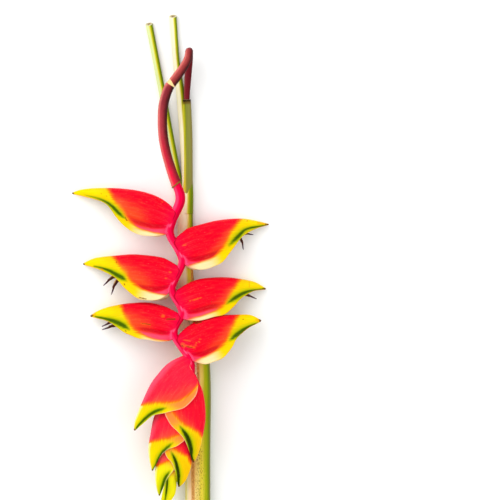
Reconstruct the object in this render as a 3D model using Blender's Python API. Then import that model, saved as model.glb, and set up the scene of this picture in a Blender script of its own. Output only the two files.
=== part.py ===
"""A hanging lobster-claw heliconia flower, cut with its leafy stem and laid on a table.

Lengths are in metres, +Z is up off the table and +Y runs from the cut end of the stem to its top.
The outlines are measured in flat units seen from above, x to the right and y towards the cut end.
"""

import math

import bmesh
import bpy
import numpy as np

MM = 0.001
UNIT = 0.88 * MM
# The middle of the whole part, in flat units
ORIGIN_X = 170.2
ORIGIN_Y = 279.3

GAP = 0.3 * MM
CURVE_STEPS = 24
TABLE_STEPS = 200

BRACT_WALL = 1.15 * MM
NESTED_WALL = 0.8 * MM
# What a bract's base has to spare round the rachis
BASE_EASE = 0.15 * MM
BRACT_TIP = 0.7 * MM
# Shares of a bract's length: where it starts to narrow, and where its hollow starts to close
TAPER_FROM = 0.35
HOLLOW_ENDS = 0.84
LEAST_HOLLOW = 0.3
# How a drooping bract levels off towards its tip, per metre
CURL = 0.66
BOAT_STATIONS = (0, 0.05, 0.11, 0.18, 0.26, 0.35, 0.44, 0.53, 0.62, 0.71, 0.79, 0.86, 0.92, 0.97, 1)

# How the half width of a bract grows from its base to its widest place and falls to its tip
OPEN_SWELL = (
    (0, 0), (0.08, 0.36), (0.2, 0.8), (0.35, 1), (0.5, 0.97),
    (0.65, 0.8), (0.8, 0.5), (0.9, 0.27), (1, 0),
)
NESTED_SWELL = (
    (0, 0), (0.08, 0.4), (0.2, 0.84), (0.35, 1), (0.6, 1),
    (0.74, 0.92), (0.86, 0.7), (0.95, 0.38), (1, 0),
)

# The side of a bract from keel to lip: how far down the section it is, and how far out
OPEN_SIDE = ((0, 0), (0.03, 0.32), (0.12, 0.63), (0.28, 0.9), (0.47, 1), (0.65, 0.91), (0.82, 0.7), (1, 0.8))
NESTED_SIDE = ((0, 0), (0.03, 0.3), (0.13, 0.6), (0.32, 0.86), (0.55, 0.97), (0.8, 1), (1, 1))

# Height of the flower's middle plane over the table, by y
AXIS_HEIGHT = (
    (0, 27), (184, 27), (250, 27.5), (300, 30), (340, 32),
    (380, 33), (430, 31.5), (470, 28), (512, 24),
)

# The rachis swings to the side of each bract: x, y and radius in mm
RACHIS = (
    (176.9, 185.45, 3.8),
    (180.2, 201, 4.3),
    (169.4, 231, 3.7),
    (182.5, 260, 3.35),
    (171.6, 288.5, 3.3),
    (182.3, 311.5, 3.15),
    (173.7, 333, 3.15),
    (188.6, 357, 3.2),
    (191.3, 376, 3),
    (186.4, 394, 2.7),
    (187.4, 407, 2.45),
    (180.4, 421, 2.2),
    (178, 437, 1.9),
)
RACHIS_SIDES = 12
RACHIS_RINGS = 46

# Each bract: side, half width and droop, then its keel and its lip from base to tip
BRACTS = {
    "bract_01": {
        "side": -1, "half_width": 12.5, "droop": 17.1,
        "keel": (
            (173.8, 207.8), (170, 204), (162, 199), (151, 194), (135, 190),
            (115, 188), (95, 187.9), (80, 189.5), (71.3, 192.6),
        ),
        "lip": (
            (173.3, 233.5), (167, 234.5), (154.7, 236.4), (143.5, 234.7), (132, 229.5),
            (119.6, 217.6), (108, 204), (91, 198), (72, 193.9),
        ),
    },
    "bract_02": {
        "side": 1, "half_width": 12.3, "droop": 18.3,
        "keel": (
            (176.6, 237.6), (183, 231.6), (189, 227.8), (202, 224), (214.8, 220.8),
            (229, 218.9), (244, 218.6), (257, 220.8), (269, 223.8),
        ),
        "lip": (
            (184.9, 264.2), (190, 268.9), (202, 269.3), (212, 266), (221, 259.7),
            (231, 247), (241.6, 235.5), (254, 229), (268.2, 225),
        ),
    },
    "bract_03": {
        "side": -1, "half_width": 12.2, "droop": 19.1,
        "keel": (
            (177.2, 265.4), (166, 258.9), (156.5, 256.4), (143.8, 255), (131, 254.3),
            (115, 255.6), (100, 257), (91, 259.2), (82.4, 263.5),
        ),
        "lip": (
            (173.9, 291), (166, 297.6), (153.3, 300.7), (142, 298.2), (131, 290.8),
            (118.3, 278.4), (105.5, 271.7), (93, 267.4), (83, 264.9),
        ),
    },
    "bract_04": {
        "side": 1, "half_width": 12, "droop": 20,
        "keel": (
            (176.6, 290.6), (183, 286), (191.5, 281.6), (201, 278.7), (213.8, 277.4),
            (228, 277.4), (242.5, 279.3), (255, 282.2), (266, 288.6),
        ),
        "lip": (
            (185.2, 318.6), (190.8, 321.6), (201, 319.4), (212, 316.6), (222.4, 313.5),
            (230, 307), (239, 298.4), (252, 291.4), (265.2, 289.8),
        ),
    },
    "bract_05": {
        "side": -1, "half_width": 11.8, "droop": 19.5,
        "keel": (
            (177.6, 312.8), (166, 306.8), (156.5, 303.9), (148.9, 302.6), (137.4, 302.6),
            (122, 304.2), (107, 307.3), (97, 311.2), (89.8, 315.7),
        ),
        "lip": (
            (174, 338.6), (167, 341.6), (153.3, 340.2), (141, 337.8), (131, 334.2),
            (120.8, 328.4), (110.6, 322), (99, 319), (90.4, 317),
        ),
    },
    "bract_06": {
        "side": 1, "half_width": 11.8, "droop": 11.5,
        "keel": (
            (178.8, 335), (183, 330), (188.3, 325.9), (196, 321.4), (204.2, 318.4),
            (219, 315.4), (236, 314.7), (250.5, 315), (261.3, 320.2),
        ),
        "lip": (
            (192.6, 360.4), (199, 363.4), (207, 363.4), (215, 360.6), (223.6, 355.4),
            (230.4, 346.6), (236, 337.7), (247, 328.6), (260.6, 321.8),
        ),
    },
    "bract_07": {
        "side": -1, "half_width": 13.4, "droop": 0, "nested": True,
        "keel": (
            (183, 355.4), (174.8, 359), (166, 365), (158.4, 373.4), (150.6, 384),
            (143.4, 399), (138.8, 410), (134.8, 421), (133.9, 430),
        ),
        "lip": (
            (191.9, 366.4), (196, 376), (198.4, 385.5), (194.4, 397.4), (184.4, 407),
            (168, 411.8), (154, 415), (143.6, 423), (135, 430.6),
        ),
    },
    "bract_08": {
        "side": 1, "half_width": 11.9, "droop": 0, "nested": True,
        "keel": (
            (195.6, 373.6), (199.6, 383), (203.4, 393), (205.4, 407), (205.5, 420),
            (203.4, 433), (201, 445), (198.2, 454.4), (193.9, 462.4),
        ),
        "lip": (
            (187, 389), (175.4, 395), (167.4, 403.4), (165.2, 413), (170, 423),
            (178, 431.4), (185, 440), (189.6, 452), (192.6, 462.2),
        ),
    },
    "bract_09": {
        "side": -1, "half_width": 9.8, "droop": 0, "nested": True,
        "keel": (
            (181.2, 388.6), (170, 395.6), (160.6, 405), (154, 417), (150.6, 433),
            (148.4, 447), (149, 458), (151, 467), (152, 471),
        ),
        "lip": (
            (190, 402), (192.4, 414), (191, 427), (186.6, 438), (178, 445),
            (167.6, 449.4), (160.7, 456), (155.6, 465.6), (152.9, 470.6),
        ),
    },
    "bract_10": {
        "side": 1, "half_width": 7.95, "droop": 0, "nested": True,
        "keel": (
            (190.6, 401), (194.6, 412), (196.2, 428), (194.6, 444), (192, 456),
            (191.4, 465), (188.6, 474.4), (184.4, 482.4), (179, 487.2),
        ),
        "lip": (
            (182.6, 414), (172, 424.4), (165.6, 436), (163.6, 447), (166.6, 456),
            (171.6, 462.4), (175, 471), (176.8, 480.4), (178.2, 486.6),
        ),
    },
    "bract_11": {
        "side": -1, "half_width": 6.1, "droop": 0, "nested": True,
        "keel": (
            (175.6, 414.6), (166.6, 424), (159.4, 437), (155.6, 450), (155.6, 462),
            (155, 473), (155.4, 482), (157, 490.6), (159, 496),
        ),
        "lip": (
            (183, 427.4), (182.8, 440), (180.6, 454), (176.6, 465.4), (170.6, 474),
            (166, 481), (163, 488), (161, 493), (159.8, 495.6),
        ),
    },
    "bract_12": {
        "side": 1, "half_width": 4.6, "droop": 0, "nested": True,
        "keel": (
            (183, 427), (185.4, 440), (185, 455), (181.2, 468), (177.4, 478),
            (176.4, 487), (175, 494.4), (170.6, 501), (164.6, 507.6),
        ),
        "lip": (
            (175.4, 436), (171, 446), (168.2, 459), (167.2, 471), (166.8, 482),
            (165.4, 491), (163.6, 498), (162.6, 503), (163.6, 507.2),
        ),
    },
}

# The bare flower stalk: x, y, height in mm and radius in mm, from inside its sheath to its sleeve
PEDUNCLE = (
    (187.4, 114, 6.6, 2.3),
    (186.6, 99, 7.4, 2.5),
    (187.2, 84, 9, 2.9),
    (188.2, 70, 11, 3.2),
    (188.9, 60, 12.6, 3.3),
    (189.1, 53.6, 14.6, 3.35),
    (189.2, 51, 18.6, 3.35),
    (189, 53, 22.8, 3.4),
    (187.6, 59.4, 25.2, 3.5),
    (183.2, 67.6, 26.4, 3.7),
    (176.2, 77.6, 27, 4),
    (168.6, 88, 27, 4.3),
    (163.6, 104, 27, 4.2),
    (162.4, 120, 27, 4.15),
    (163.2, 136, 27, 4.15),
    (165.6, 150, 27, 4.15),
    (169.2, 163.4, 27, 4.2),
    (173, 175, 27, 4.4),
    (176.7, 184.8, 27, 4.5),
)
PEDUNCLE_SIDES = 12
PEDUNCLE_RINGS = 36
SLEEVE_SLANT = 0.32

# The stem and its stalks lie on the table: x, y and radius across, all in flat units
PSEUDOSTEM = (
    (186.4, 196, 6.4),
    (185, 230, 7.6),
    (185, 275, 8.1),
    (188.6, 306, 10.6),
    (192.6, 336, 12.8),
    (196, 363, 13.6),
    (197.4, 400, 13.4),
    (197.6, 440, 12.7),
    (197.6, 500, 12.5),
    (198, 545, 12.4),
)
LEFT_STALK = ((148.6, 23.2, 3.6), (155, 56, 3.4), (163, 98, 3.5), (170.6, 140, 3.6), (177, 175, 3.9), (182, 208, 4.4))
RIGHT_STALK = ((172.6, 15.4, 3.7), (176.2, 61, 3.3), (180.6, 96, 4.4), (185, 148, 5), (187.4, 188, 5.6), (187, 214, 6))
SHEATH = ((186.5, 99, 7.5, 4.1), (187.3, 122, 6.4, 4.5), (187.6, 150, 5.6, 4.9), (187.4, 182, 5, 5.2))
STEM_FLATNESS = 0.78
STALK_FLATNESS = 0.95
STEM_SIDES = 20
STEM_RINGS = 15
STALK_SIDES = 12
STALK_RINGS = 10
SHEATH_RINGS = 8

# Dry flowers in bracts 2 to 5: from the rachis along the inside of the bract and out between its lips.
# Each point is x, y and how far it lies in front of the bract's middle plane, in mm.
DRIED_FLOWERS = {
    "dried_flowers_02": {
        "bract": "bract_02", "foot_y": 256,
        "spikes": (
            ((206, 252, 1.2), (222, 240, 2), (234, 234.4, 2.4), (240.4, 240, 2.6), (242.4, 249.4, 2.6)),
            ((208, 254, -1), (226, 240.6, -1.2), (240, 233.6, -0.6), (253, 234.6, 0.4)),
        ),
    },
    "dried_flowers_03": {
        "bract": "bract_03", "foot_y": 286,
        "spikes": (
            ((148, 288, 1.4), (132, 281, 2.2), (117, 276.6, 2.6), (110.6, 279.6, 2.8), (104.2, 285.6, 2.8)),
            ((150, 290.6, -0.6), (134, 285, -1), (120.4, 279, -0.6), (114.6, 285, 0.2), (111.4, 294.6, 1)),
        ),
    },
    "dried_flowers_04": {
        "bract": "bract_04", "foot_y": 312,
        "spikes": (((206, 309.6, 1), (222, 302.6, 1.8), (234, 296.4, 2.2), (244, 294.4, 2.4), (255.4, 299, 2.4)),),
    },
    "dried_flowers_05": {
        "bract": "bract_05", "foot_y": 331,
        "spikes": (
            ((150, 331, 1.2), (134, 326.4, 2), (118, 321.4, 2.4), (110.4, 323, 2.6), (102.8, 326.6, 2.6)),
            ((150, 333.6, -1), (134, 329.4, -1.4), (118.4, 325, -1), (102, 329.8, 0)),
        ),
    },
}
SPIKE_RADII = ((0, 1.5), (0.12, 1.1), (0.55, 1.1), (1, 0.38))
SPIKE_SIDES = 6
SPIKE_RINGS = 10

COLOURS = {
    "stem_green": (0.45, 0.55, 0.12, 1),
    "peduncle_maroon": (0.32, 0.06, 0.07, 1),
    "rachis_crimson": (0.75, 0.01, 0.06, 1),
    "bract_red": (0.85, 0.02, 0.03, 1),
    "dried_brown": (0.05, 0.025, 0.015, 1),
}


def clear_scene():
    for thing in list(bpy.data.objects):
        bpy.data.objects.remove(thing, do_unlink=True)


def smooth_curve(points):
    """Close points along a smooth curve through the given ones."""
    given = np.array(points, float)
    ends = np.vstack([2 * given[0] - given[1], given, 2 * given[-1] - given[-2]])
    steps = np.linspace(0, 1, CURVE_STEPS, endpoint=False)[:, None]
    parts = []
    for a, b, c, d in zip(ends, ends[1:], ends[2:], ends[3:]):
        cubic = -a + 3 * b - 3 * c + d
        square = 2 * a - 5 * b + 4 * c - d
        parts.append(0.5 * (2 * b + (c - a) * steps + square * steps**2 + cubic * steps**3))
    return np.vstack(parts + [given[-1:]])


def smooth_path(points, count, measured=2):
    """Points along that curve: at even steps, or at the given shares, of the length of its first columns."""
    dense = smooth_curve(points)
    fractions = np.linspace(0, 1, count) if np.isscalar(count) else np.array(count, float)
    lengths = np.linalg.norm(np.diff(dense[:, :measured], axis=0), axis=1)
    travelled = np.concatenate([[0], np.cumsum(lengths)])
    wanted = fractions * travelled[-1]
    return np.column_stack([np.interp(wanted, travelled, column) for column in dense.T])


def smooth_path_3d(points, count):
    """The same for points whose height in mm counts in the length too."""
    lifted = [(x, y, height * MM / UNIT, radius) for x, y, height, radius in points]
    path = smooth_path(lifted, count, measured=3)
    path[:, 2] *= UNIT / MM
    return path


def smooth_value(table, at):
    """A value read off a smooth curve through a short table."""
    curve = smooth_path(table, TABLE_STEPS)
    return np.interp(at, curve[:, 0], curve[:, 1])


def smooth_step(low, high, value):
    share = min(max((value - low) / (high - low), 0), 1)
    return share * share * (3 - 2 * share)


def place(x, y, height):
    """Flat units and a height in metres, as a point of the model."""
    return np.array([(x - ORIGIN_X) * UNIT, (ORIGIN_Y - y) * UNIT, height])


def axis_height(y):
    return smooth_value(AXIS_HEIGHT, y) * MM


def rachis_x(y):
    path = smooth_path(RACHIS, TABLE_STEPS)
    return np.interp(y, path[:, 1], path[:, 0])


def rachis_radius(y):
    path = smooth_path(RACHIS, TABLE_STEPS)
    return np.interp(y, path[:, 1], path[:, 2]) * MM


def add_object(name, points, faces, colour):
    mesh = bpy.data.meshes.new(name)
    mesh.from_pydata([tuple(float(value) for value in point) for point in points], [], faces)
    work = bmesh.new()
    work.from_mesh(mesh)
    bmesh.ops.recalc_face_normals(work, faces=work.faces)
    bmesh.ops.triangulate(work, faces=work.faces)
    work.to_mesh(mesh)
    work.free()
    thing = bpy.data.objects.new(name, mesh)
    bpy.context.scene.collection.objects.link(thing)
    mesh.materials.append(material(colour))
    for face in mesh.polygons:
        face.use_smooth = True
    return thing


def material(name):
    found = bpy.data.materials.get(name)
    if found:
        return found
    made = bpy.data.materials.new(name)
    made.use_nodes = True
    shader = made.node_tree.nodes["Principled BSDF"]
    shader.inputs["Base Color"].default_value = COLOURS[name]
    shader.inputs["Roughness"].default_value = 0.45
    return made


def ring_faces(rings, around):
    """Quads between closed rings that follow each other."""
    faces = []
    for ring in range(rings - 1):
        for side in range(around):
            after = (side + 1) % around
            low = ring * around
            high = low + around
            faces.append((low + side, low + after, high + after, high + side))
    return faces


def sweep(name, points, across, upright, sides, colour, slants=(0, 0)):
    """A closed tube along 3-D points, with its own radius across and upright at each of them."""
    points = np.array(points, float)
    tangents = np.gradient(points, axis=0)
    tangents /= np.linalg.norm(tangents, axis=1)[:, None]
    side_way = np.cross(tangents[0], (0, 0, 1))
    rings = []
    for index, (point, tangent) in enumerate(zip(points, tangents)):
        side_way = side_way - tangent * np.dot(side_way, tangent)
        side_way /= np.linalg.norm(side_way)
        up_way = np.cross(side_way, tangent)
        slant = slants[0] if index == 0 else slants[1] if index == len(points) - 1 else 0
        for turn in np.linspace(0, 2 * math.pi, sides, endpoint=False):
            sideways = math.cos(turn) * across[index]
            ring_point = point + side_way * sideways + up_way * math.sin(turn) * upright[index]
            rings.append(ring_point + tangent * sideways * slant)
    faces = ring_faces(len(points), sides)
    last = (len(points) - 1) * sides
    rings += [np.mean(rings[:sides], axis=0), np.mean(rings[last:], axis=0)]
    for side in range(sides):
        after = (side + 1) % sides
        faces.append((after, side, last + sides))
        faces.append((last + side, last + after, last + sides + 1))
    return add_object(name, rings, faces, colour)


def combine(thing, other, operation):
    """Joins or cuts with another object, which is then only a hidden helper."""
    other.hide_render = True
    other.display_type = "WIRE"
    step = thing.modifiers.new(operation.lower() + " " + other.name, "BOOLEAN")
    step.operation = operation
    step.solver = "EXACT"
    step.object = other


def bract_height(x, y, side, droop):
    """Height of a bract's middle plane, which droops away from the rachis."""
    outwards = np.maximum(side * (x - rachis_x(y)), 0) * UNIT
    return axis_height(y) - math.tan(droop) * outwards + (CURL * outwards**2 if droop else 0)


def bract_sections(spec):
    """Keel, lip and half width of a bract at each station, and the way its sides bulge."""
    keel = smooth_path(spec["keel"], BOAT_STATIONS)
    lip = smooth_path(spec["lip"], BOAT_STATIONS)
    nested = spec.get("nested", False)
    wall = NESTED_WALL if nested else BRACT_WALL
    base = rachis_radius(keel[0, 1]) + GAP + wall + BASE_EASE
    widest = spec["half_width"] * MM
    stations = np.array(BOAT_STATIONS)
    swell = smooth_value(NESTED_SWELL if nested else OPEN_SWELL, stations)
    towards_tip = np.clip((stations - TAPER_FROM) / (1 - TAPER_FROM), 0, 1)
    least = base + (BRACT_TIP - base) * towards_tip
    return keel, lip, least + (widest - least) * swell, wall


def bract_loop(keel, lip, half_width, wall, hollow, side_table):
    """One closed section: the outside from lip over keel to lip, then the inside back again.

    Each point is how far down from keel to lip it lies, as a share, and how far to the side.
    """
    table = np.array(side_table)
    down = np.concatenate([table[::-1, 0], table[1:, 0]])
    out = np.concatenate([-table[::-1, 1], table[1:, 1]]) * half_width
    depth = np.linalg.norm((keel - lip)[:2]) * UNIT
    narrow = max(1 - wall / half_width, LEAST_HOLLOW)
    thinner = max(1 - wall / depth, LEAST_HOLLOW)
    inner_down = 1 - (1 - down) * thinner * hollow
    share = np.abs(np.linspace(-1, 1, len(down)))
    flat_out = np.sign(out) * share * table[-1, 1] * half_width
    inner_out = (out * hollow + flat_out * (1 - hollow)) * narrow
    return np.concatenate([down, inner_down[::-1]]), np.concatenate([out, inner_out[::-1]])


def bract(name, spec):
    """A bract is a folded leaf: one closed shell with a keel, two bulging sides and two lips."""
    keel, lip, half_widths, wall = bract_sections(spec)
    droop = math.radians(spec["droop"])
    side = spec["side"]
    side_table = NESTED_SIDE if spec.get("nested") else OPEN_SIDE
    normal = np.array([side * math.sin(droop), 0, math.cos(droop)])
    points = []
    for index, station in enumerate(BOAT_STATIONS):
        hollow = 1 - smooth_step(HOLLOW_ENDS, 1, station)
        down, out = bract_loop(keel[index], lip[index], half_widths[index], wall, hollow, side_table)
        for share, outwards in zip(down, out):
            x, y = keel[index, :2] + (lip[index, :2] - keel[index, :2]) * share
            points.append(place(x, y, bract_height(x, y, side, droop)) + normal * outwards)
    around = len(points) // len(BOAT_STATIONS)
    faces = ring_faces(len(BOAT_STATIONS), around)
    last = (len(BOAT_STATIONS) - 1) * around
    for step in range(around // 2 - 1):
        back = around - 1 - step
        faces.append((step + 1, step, back, back - 1))
        faces.append((last + step, last + step + 1, last + back - 1, last + back))
    return add_object(name, points, faces, "bract_red")


def rachis(name, extra, colour):
    path = smooth_path(RACHIS, RACHIS_RINGS)
    points = [place(x, y, axis_height(y)) for x, y, _ in path]
    radii = path[:, 2] * MM + extra
    return sweep(name, points, radii, radii, RACHIS_SIDES, colour, (SLEEVE_SLANT, 0))


def peduncle(name, extra):
    path = smooth_path_3d(PEDUNCLE, PEDUNCLE_RINGS)
    points = [place(x, y, height * MM) for x, y, height, _ in path]
    points[0] = points[0] + (points[0] - points[1]) * extra / np.linalg.norm(points[0] - points[1])
    radii = path[:, 3] * MM + extra
    return sweep(name, points, radii, radii, PEDUNCLE_SIDES, "peduncle_maroon", (0, -SLEEVE_SLANT))


def stalk(name, table, rings, sides, flatness):
    """A stem or stalk whose underside lies along the table."""
    path = smooth_path(table, rings)
    points = [place(x, y, radius * UNIT * flatness) for x, y, radius in path]
    across = path[:, 2] * UNIT
    return sweep(name, points, across, across * flatness, sides, "stem_green")


def leaf_stem():
    stem = stalk("leaf_stem", PSEUDOSTEM, STEM_RINGS, STEM_SIDES, STEM_FLATNESS)
    combine(stem, stalk("left_stalk_helper", LEFT_STALK, STALK_RINGS, STALK_SIDES, STALK_FLATNESS), "UNION")
    combine(stem, stalk("right_stalk_helper", RIGHT_STALK, STALK_RINGS, STALK_SIDES, STALK_FLATNESS), "UNION")
    path = smooth_path_3d(SHEATH, SHEATH_RINGS)
    points = [place(x, y, height * MM) for x, y, height, _ in path]
    radii = path[:, 3] * UNIT
    combine(stem, sweep("sheath_helper", points, radii, radii, STALK_SIDES, "stem_green"), "UNION")
    combine(stem, peduncle("socket_helper", GAP), "DIFFERENCE")
    return stem


def spike(name, foot_y, points, spec):
    """One dry flower: thick at its foot beside the rachis, slim and pointed at its end."""
    droop = math.radians(spec["droop"])
    side = spec["side"]
    foot_x = rachis_x(foot_y) + side * (rachis_radius(foot_y) + GAP) / UNIT
    points = ((foot_x, foot_y, 0), *points)
    normal = np.array([side * math.sin(droop), 0, math.cos(droop)])
    path = smooth_path(points, SPIKE_RINGS)
    placed = [place(x, y, bract_height(x, y, side, droop)) + normal * out * MM for x, y, out in path]
    radii = np.interp(np.linspace(0, 1, SPIKE_RINGS), *zip(*SPIKE_RADII)) * MM
    return sweep(name, placed, radii, radii, SPIKE_SIDES, "dried_brown")


def dried_flowers(name, spec):
    bract_spec = BRACTS[spec["bract"]]
    foot_y = spec["foot_y"]
    first = spike(name, foot_y, spec["spikes"][0], bract_spec)
    for number, points in enumerate(spec["spikes"][1:]):
        combine(first, spike(f"{name}_helper_{number}", foot_y, points, bract_spec), "UNION")


clear_scene()
leaf_stem()
peduncle("peduncle", 0)
rachis("rachis", 0, "rachis_crimson")
rachis_space = rachis("rachis_space", GAP, "rachis_crimson")
for bract_name, bract_spec in BRACTS.items():
    combine(bract(bract_name, bract_spec), rachis_space, "DIFFERENCE")
for flowers_name, flowers_spec in DRIED_FLOWERS.items():
    dried_flowers(flowers_name, flowers_spec)
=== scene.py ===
# %% [markdown]
# # A hanging heliconia, cut and laid on a table
#
# The flower is a chain of folded leaves, called bracts, on a zigzag axis. It hangs from a hooked
# flower stalk, which leaves the rolled leaf sheaths of a green stem. The measured model gives every
# piece its place and its size. This script gives each one its fine surface and its colours.

import math

import bpy
import numpy as np
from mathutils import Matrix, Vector


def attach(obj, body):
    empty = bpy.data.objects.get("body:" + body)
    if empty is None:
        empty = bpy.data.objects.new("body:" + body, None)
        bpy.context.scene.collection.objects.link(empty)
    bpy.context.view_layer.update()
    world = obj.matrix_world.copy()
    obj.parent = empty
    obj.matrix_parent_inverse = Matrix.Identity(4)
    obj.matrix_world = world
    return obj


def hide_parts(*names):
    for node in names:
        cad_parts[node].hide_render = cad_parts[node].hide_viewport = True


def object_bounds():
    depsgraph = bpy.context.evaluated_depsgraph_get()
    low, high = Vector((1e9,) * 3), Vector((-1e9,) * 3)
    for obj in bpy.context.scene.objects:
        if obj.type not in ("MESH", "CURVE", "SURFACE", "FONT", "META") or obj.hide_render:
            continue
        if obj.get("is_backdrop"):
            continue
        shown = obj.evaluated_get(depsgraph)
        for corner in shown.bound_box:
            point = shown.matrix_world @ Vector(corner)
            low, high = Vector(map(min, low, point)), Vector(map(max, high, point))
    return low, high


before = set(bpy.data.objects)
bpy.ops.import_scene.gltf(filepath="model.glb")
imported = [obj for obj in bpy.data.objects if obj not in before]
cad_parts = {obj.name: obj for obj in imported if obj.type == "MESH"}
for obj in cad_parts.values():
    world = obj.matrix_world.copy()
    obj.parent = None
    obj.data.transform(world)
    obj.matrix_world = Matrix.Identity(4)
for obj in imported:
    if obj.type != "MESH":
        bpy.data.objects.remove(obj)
CAD_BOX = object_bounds()
print("nodes:", len(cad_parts), "box:", [round(value, 4) for corner in CAD_BOX for value in corner])

# %% [markdown]
# ## Sizes and smooth curves
#
# The outlines are measured in flat units, seen from above: x to the right and y towards the cut end
# of the stem. One unit is 0.88 mm. A few points are enough for each outline, because a smooth curve
# runs through them. Blender's own curves could do that too, but here the same curve also has to give
# widths and heights at any place, so a short function is easier to reuse.

# %% Units and places
MM = 0.001
UNIT = 0.88 * MM
ORIGIN_X = 170.2
ORIGIN_Y = 279.3


def place(x, y, height):
    """Flat units and a height in metres, as points of the model."""
    x, y, height = np.broadcast_arrays(x, y, height)
    return np.stack([(x - ORIGIN_X) * UNIT, (ORIGIN_Y - y) * UNIT, height], axis=-1)


def on_plan(points):
    """The flat x and y of points of the model."""
    return points[..., 0] / UNIT + ORIGIN_X, ORIGIN_Y - points[..., 1] / UNIT


# %% Smooth curves
CURVE_STEPS = 24
TABLE_STEPS = 200


def smooth_curve(points):
    """Close points along a smooth curve through the given ones."""
    given = np.array(points, float)
    ends = np.vstack([2 * given[0] - given[1], given, 2 * given[-1] - given[-2]])
    steps = np.linspace(0, 1, CURVE_STEPS, endpoint=False)[:, None]
    parts = []
    for a, b, c, d in zip(ends, ends[1:], ends[2:], ends[3:]):
        cubic = -a + 3 * b - 3 * c + d
        square = 2 * a - 5 * b + 4 * c - d
        parts.append(0.5 * (2 * b + (c - a) * steps + square * steps**2 + cubic * steps**3))
    return np.vstack(parts + [given[-1:]])


def smooth_path(points, count, measured=2):
    """Points at even steps, or at the given shares, of the length of that curve's first columns."""
    dense = smooth_curve(points)
    fractions = np.linspace(0, 1, count) if np.isscalar(count) else np.array(count, float)
    lengths = np.linalg.norm(np.diff(dense[:, :measured], axis=0), axis=1)
    travelled = np.concatenate([[0], np.cumsum(lengths)])
    wanted = fractions * travelled[-1]
    return np.column_stack([np.interp(wanted, travelled, column) for column in dense.T])


def smooth_value(table, at):
    """A value read off a smooth curve through a short table."""
    curve = smooth_path(table, TABLE_STEPS)
    return np.interp(at, curve[:, 0], curve[:, 1])


def line_length(points):
    return np.linalg.norm(np.diff(points, axis=0), axis=1).sum()


# %% Ramps and bumps


def ramp(start, end, value):
    """0 at its start and 1 at its end, with soft corners. The end may be the lower one."""
    share = np.clip((value - start) / (end - start), 0, 1)
    return share * share * (3 - 2 * share)


def bump(middle, half_width, value):
    """1 in its middle, and falling away softly on both sides."""
    return np.exp(-0.5 * ((value - middle) / half_width) ** 2)


def fades(rows, over, kinds=("any",)):
    """Fields that are products of ramps and bumps over the given values.

    A row has the field, the kind of piece that it is for, its strength, which may be the name of a
    value, and the ramps. A later row for the same field takes its place.
    """
    shape = np.shape(next(iter(over.values())))
    made = {row[0]: np.zeros(shape) for row in rows}
    for field, kind, strength, *factors in rows:
        if kind in kinds:
            made[field] = np.ones(shape) * (over[strength] if isinstance(strength, str) else strength)
            for curve, name, first, second in factors:
                made[field] = made[field] * curve(first, second, over[name])
            over = over | {field: made[field]}
    return made


# %% [markdown]
# ## The axis of the flower
#
# The axis, or rachis, swings to the side of each bract. Everything in the flower is placed from it,
# so its line, its thickness and its height over the table come first.

# %% The line of the rachis
# y and the height over the table in mm, then x, y and the radius in mm
AXIS_HEIGHT = (
    (0, 27), (184, 27), (250, 27.5), (300, 30), (340, 32),
    (380, 33), (430, 31.5), (470, 28), (512, 24),
)
RACHIS = (
    (176.9, 185.45, 3.8), (180.2, 201, 4.3), (169.4, 231, 3.7), (182.5, 260, 3.35),
    (171.6, 288.5, 3.3), (182.3, 311.5, 3.15), (173.7, 333, 3.15), (188.6, 357, 3.2),
    (191.3, 376, 3), (186.4, 394, 2.7), (187.4, 407, 2.45), (180.4, 421, 2.2), (178, 437, 1.9),
)
RACHIS_LINE = smooth_path(RACHIS, TABLE_STEPS)
print("rachis:", round(line_length(RACHIS_LINE[:, :2]) * UNIT / MM), "mm long")


def axis_height(y):
    return smooth_value(AXIS_HEIGHT, y) * MM


def rachis_x(y):
    return np.interp(y, RACHIS_LINE[:, 1], RACHIS_LINE[:, 0])


def rachis_radius(y):
    return np.interp(y, RACHIS_LINE[:, 1], RACHIS_LINE[:, 2]) * MM
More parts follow.
